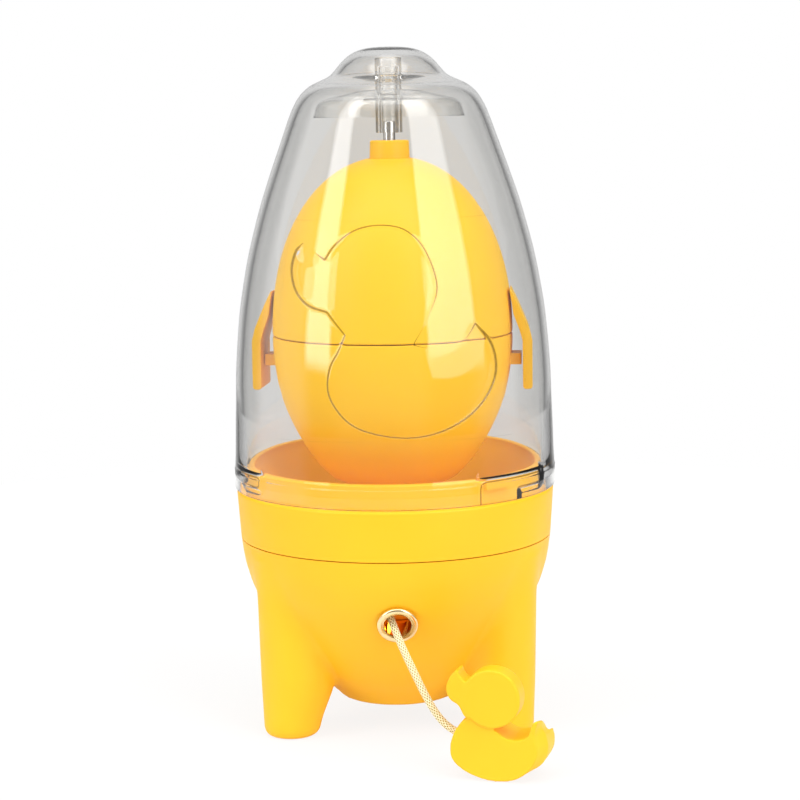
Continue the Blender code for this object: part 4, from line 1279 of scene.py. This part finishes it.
class BuildCapsule(bpy.types.Operator):
    """Build the two half shells, their liners, the pin and the latch arms"""

    bl_idname = "egg_spinner.capsule"
    bl_label = "Capsule"

    def execute(self, context):
        lower = turned("lower_shell", lower_shell_outline(), 160)
        corner = 6.4 / math.cos(math.pi / 6)
        angles = CAPSULE_TURN + np.arange(6) * math.pi / 3
        hexagon = np.column_stack((np.cos(angles), np.sin(angles))) * corner
        combine(lower, slab("socket", hexagon, 60.0, 70.4))
        catches = []
        for side in (0, math.pi):
            box = [(32.6, -4, 0), (37.35, -4, 0.8), (37.35, 4, 0.8), (32.6, 4, 0)]
            catch = slab("catch", rounded(box), 105.4, 108.6)
            catches.append(moved(catch, Matrix.Rotation(side + CAPSULE_TURN, 4, "Z")))
        combine(lower, joined("catches", catches), "UNION")
        placed(lower, "capsule_lower", "shell", "capsule_lower_shell", 40)
        upper = turned("upper_shell", upper_shell_outline(), 160)
        placed(upper, "capsule_upper", "shell", "capsule_upper_shell", 40)
        for body, up in (("capsule_lower", False), ("capsule_upper", True)):
            node = "upper_liner" if up else "lower_liner"
            liner = turned("soft_" + node, liner_outline(up), 96)
            placed(liner, body, "silicone", node, 50)
        pin = rounded(
            [(0, 160.5, 0), (1.72, 160.5, 0.2), (1.72, 175.3, 0.6), (0, 175.3, 0)], closed=False
        )
        pin = turned("steel_pin", pin, 64)
        placed(pin, "capsule_upper", "steel", "top_pin")
        for node, side in (("latch_arm_right", 0.0), ("latch_arm_left", math.pi)):
            outline = rounded(ARM_OUTLINE, steps=6)
            arm = slab(node + "_moulding", outline, -ARM_WIDTH / 2, ARM_WIDTH / 2)
            stand = Matrix.Rotation(math.radians(90), 4, "X")
            moved(arm, Matrix.Rotation(side + CAPSULE_TURN, 4, "Z") @ stand)
            bevelled(arm, 0.45, 3, 50)
            body = node.replace("_arm", "")
            placed(arm, body, "shell", node, 50)
        return {"FINISHED"}


# turned and small pieces inside the base

TURNED_PIECES = {
    "spindle_shaft": (
        "spindle",
        "steel",
        [(0, SHAFT_LOW, 0), (2.0, SHAFT_LOW, 0.4), (2.0, SHAFT_HIGH, 0.4), (0, SHAFT_HIGH, 0)],
    ),
    "cord_spool": (
        "spindle",
        "deep",
        [
            (2.3, 29.0, 0.2), (9.4, 29.0, 0.4), (9.4, 30.5, 0.4), (4.4, 30.5, 0.3),
            (4.4, 43.5, 0.3), (9.4, 43.5, 0.4), (9.4, 45.0, 0.4), (2.3, 45.0, 0.2),
        ],
    ),
    "thrust_washer": (
        "spindle",
        "nylon",
        [(2.4, 60.3, 0.1), (6.2, 60.3, 0.2), (6.2, 61.2, 0.2), (2.4, 61.2, 0.1)],
    ),
    "lower_bush": (
        "base",
        "nylon",
        [
            (0, 9.2, 0), (4.5, 9.2, 0.3), (4.5, 16.3, 0.1), (6.5, 16.3, 0.2), (6.5, 17.3, 0.3),
            (2.3, 17.3, 0.3), (2.3, 10.3, 0.1), (0, 10.3, 0),
        ],
    ),
    "upper_bush": (
        "base",
        "nylon",
        [
            (2.3, 51.0, 0.2), (6.5, 51.0, 0.3), (6.5, 52.0, 0.2), (4.5, 52.0, 0.1),
            (4.5, 60.0, 0.3), (2.3, 60.0, 0.3),
        ],
    ),
}


class BuildInside(bpy.types.Operator):
    """Build the turned pieces inside the base, and finish the small ones kept as packed"""

    bl_idname = "egg_spinner.inside"
    bl_label = "Inside"

    def execute(self, context):
        for node, (body, finish, corners) in TURNED_PIECES.items():
            piece = turned(node + "_turned", rounded(corners, closed=corners[0][0] > 0), 96)
            placed(piece, body, finish, node)
        small = {
            "drive_head": ("spindle", "deep", 0.35),
            "shaft_clip": ("spindle", "steel", 0.12),
            "case_screw_1": ("base", "steel", 0.1),
            "case_screw_2": ("base", "steel", 0.1),
            "case_screw_3": ("base", "steel", 0.1),
        }
        for node, (body, finish, edge) in small.items():
            bm = bmesh.new()
            bm.from_mesh(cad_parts[node].data)
            bmesh.ops.remove_doubles(bm, verts=bm.verts, dist=1e-6)
            bmesh.ops.dissolve_limit(
                bm, angle_limit=math.radians(1), verts=bm.verts, edges=bm.edges
            )
            mesh = bpy.data.meshes.new(node)
            bm.to_mesh(mesh)
            bm.free()
            piece = new_object(node + "_detail", mesh)
            bevelled(piece, edge, 3, 40)
            placed(piece, body, finish, node)
        return {"FINISHED"}


# stage


FLOOR_SEEN = 0.85
FLOOR_BOUNCE = 0.35
FLOOR_DIMMING = 0.3
BOWL_LIGHT = 0.006
BOWL_LIGHT_PLACE = (0.012, -0.022, 0.046)
FILL_LIGHT = 0.14
SOFT_LIGHTS = (  # azimuths from the front, elevations, softness of the edges, radiance
    (-200.0, 200.0, -95.0, 95.0, 2.0, 0.21), (-220.0, -154.0, -95.0, 110.0, 9.0, 0.5),
    (154.0, 220.0, -95.0, 110.0, 9.0, 0.5), (-115.0, -67.0, -30.0, 50.0, 8.0, 0.7),
    (64.0, 100.0, -30.0, 50.0, 8.0, 0.4), (-42.0, 24.0, -30.0, 45.0, 8.0, 0.18),
    (-67.0, -47.0, 0.5, 62.0, 1.2, 4.2), (26.0, 64.0, 0.5, 62.0, 1.2, 3.4),
    (-90.0, 90.0, 50.0, 75.0, 6.0, 2.2), (-200.0, 200.0, 72.0, 100.0, 6.0, 2.2),
)


def studio_world(strength):
    """A studio all round, white to the camera: the sum of soft windows, each between two
    azimuths from the front and two elevations, and an even fill for dull surfaces only."""
    world = bpy.data.worlds.new("studio")
    world.use_nodes = True
    tree = world.node_tree
    background = tree.nodes["Background"]
    source = linked(tree, "ShaderNodeTexCoord")
    split = linked(tree, "ShaderNodeSeparateXYZ")
    tree.links.new(source.outputs["Generated"], split.inputs["Vector"])
    forward = figured(tree, "MULTIPLY", split.outputs["Y"], -1.0)
    azimuth = figured(tree, "ARCTAN2", split.outputs["X"], forward)
    azimuth = figured(tree, "MULTIPLY", azimuth, 180 / math.pi)
    elevation = figured(tree, "ARCSINE", split.outputs["Z"])
    elevation = figured(tree, "MULTIPLY", elevation, 180 / math.pi)
    total = None
    for left, right, bottom, top, soft, radiance in SOFT_LIGHTS:
        across = window(tree, azimuth, left, right, soft)
        level = window(tree, elevation, bottom, top, soft)
        share = figured(tree, "MULTIPLY", across, level)
        share = figured(tree, "MULTIPLY", share, radiance * strength)
        total = share if total is None else figured(tree, "ADD", total, share)
    path = linked(tree, "ShaderNodeLightPath")
    dull = figured(tree, "MULTIPLY", path.outputs["Is Diffuse Ray"], FILL_LIGHT * strength)
    total = figured(tree, "ADD", total, dull)
    hidden = figured(tree, "SUBTRACT", 1.0, path.outputs["Is Camera Ray"])
    seen = figured(tree, "MULTIPLY", total, hidden)
    tree.links.new(
        figured(tree, "ADD", seen, path.outputs["Is Camera Ray"]), background.inputs["Strength"]
    )
    background.inputs["Color"].default_value = (1.0, 1.0, 1.0, 1.0)
    return world


class BuildStage(bpy.types.Operator):
    """Build the pale floor and the soft light of a studio all round"""

    bl_idname = "egg_spinner.stage"
    bl_label = "Stage"

    def execute(self, context):
        scene = context.scene
        scene.view_settings.view_transform = "Standard"
        scene.world = studio_world(scene.egg_spinner.light_strength)
        turn = np.linspace(0, 2 * math.pi, 64, endpoint=False)
        edge = np.column_stack((np.cos(turn), np.sin(turn), 0 * turn)) * FLOOR_RADIUS / MM
        floor = make_piece("floor", edge, np.arange(64)[None], merge=False)
        glow = bpy.data.lights.new("light_through_bowl", "POINT")
        glow.energy = BOWL_LIGHT
        glow.color = (1.0, 0.45, 0.05)
        glow.shadow_soft_size = 0.004
        new_object("light_through_bowl", glow).location = BOWL_LIGHT_PLACE
        finish, tree, shader, here = new_finish("pale_floor", 0.85, Specular_IOR_Level=0.1)
        drift = spread(tree, noise(tree, here, 3.0))
        pale = blended(tree, drift, (0.80, 0.80, 0.80), (0.79, 0.79, 0.785))
        tree.links.new(pale, shader.inputs["Base Color"])
        path = linked(tree, "ShaderNodeLightPath")
        through = path.outputs["Is Transmission Ray"]
        glow = linked(tree, "ShaderNodeEmission")
        dimmed = figured(tree, "MULTIPLY_ADD", through, -FLOOR_DIMMING, 1.0)
        tree.links.new(dimmed, glow.inputs["Strength"])
        seen = figured(tree, "MULTIPLY_ADD", path.outputs["Is Camera Ray"], FLOOR_SEEN, through)
        bounce = figured(tree, "MULTIPLY", path.outputs["Is Diffuse Ray"], FLOOR_BOUNCE)
        mixed_surface(tree, figured(tree, "ADD", seen, bounce), shader, glow)
        floor.data.materials.append(finish)
        return {"FINISHED"}


OPERATORS = (
    BuildCamera,
    BuildCord,
    BuildBase,
    BuildCover,
    BuildCapsule,
    BuildInside,
    BuildStage,
)


class PanelOfEggSpinner(bpy.types.Panel):
    """Lists the pieces that can be built"""

    bl_idname = "VIEW3D_PT_egg_spinner"
    bl_label = "Egg spinner"
    bl_space_type = "VIEW_3D"
    bl_region_type = "UI"
    bl_category = "Egg spinner"

    def draw(self, context):
        settings = context.scene.egg_spinner
        for key in settings.__annotations__:
            self.layout.prop(settings, key)
        for operator in OPERATORS:
            self.layout.operator(operator.bl_idname)


CLASSES = (SettingsOfEggSpinner, *OPERATORS, PanelOfEggSpinner)


def register():
    """Register the classes and the settings."""
    for item in CLASSES:
        bpy.utils.register_class(item)
    bpy.types.Scene.egg_spinner = PointerProperty(type=SettingsOfEggSpinner)


def unregister():
    """Remove the settings and the classes."""
    del bpy.types.Scene.egg_spinner
    for item in reversed(CLASSES):
        bpy.utils.unregister_class(item)


def main():
    """Build everything in order."""
    register()
    for operator in OPERATORS:
        area, action = operator.bl_idname.split(".")
        getattr(getattr(bpy.ops, area), action)()


if __name__ == "__main__":
    main()
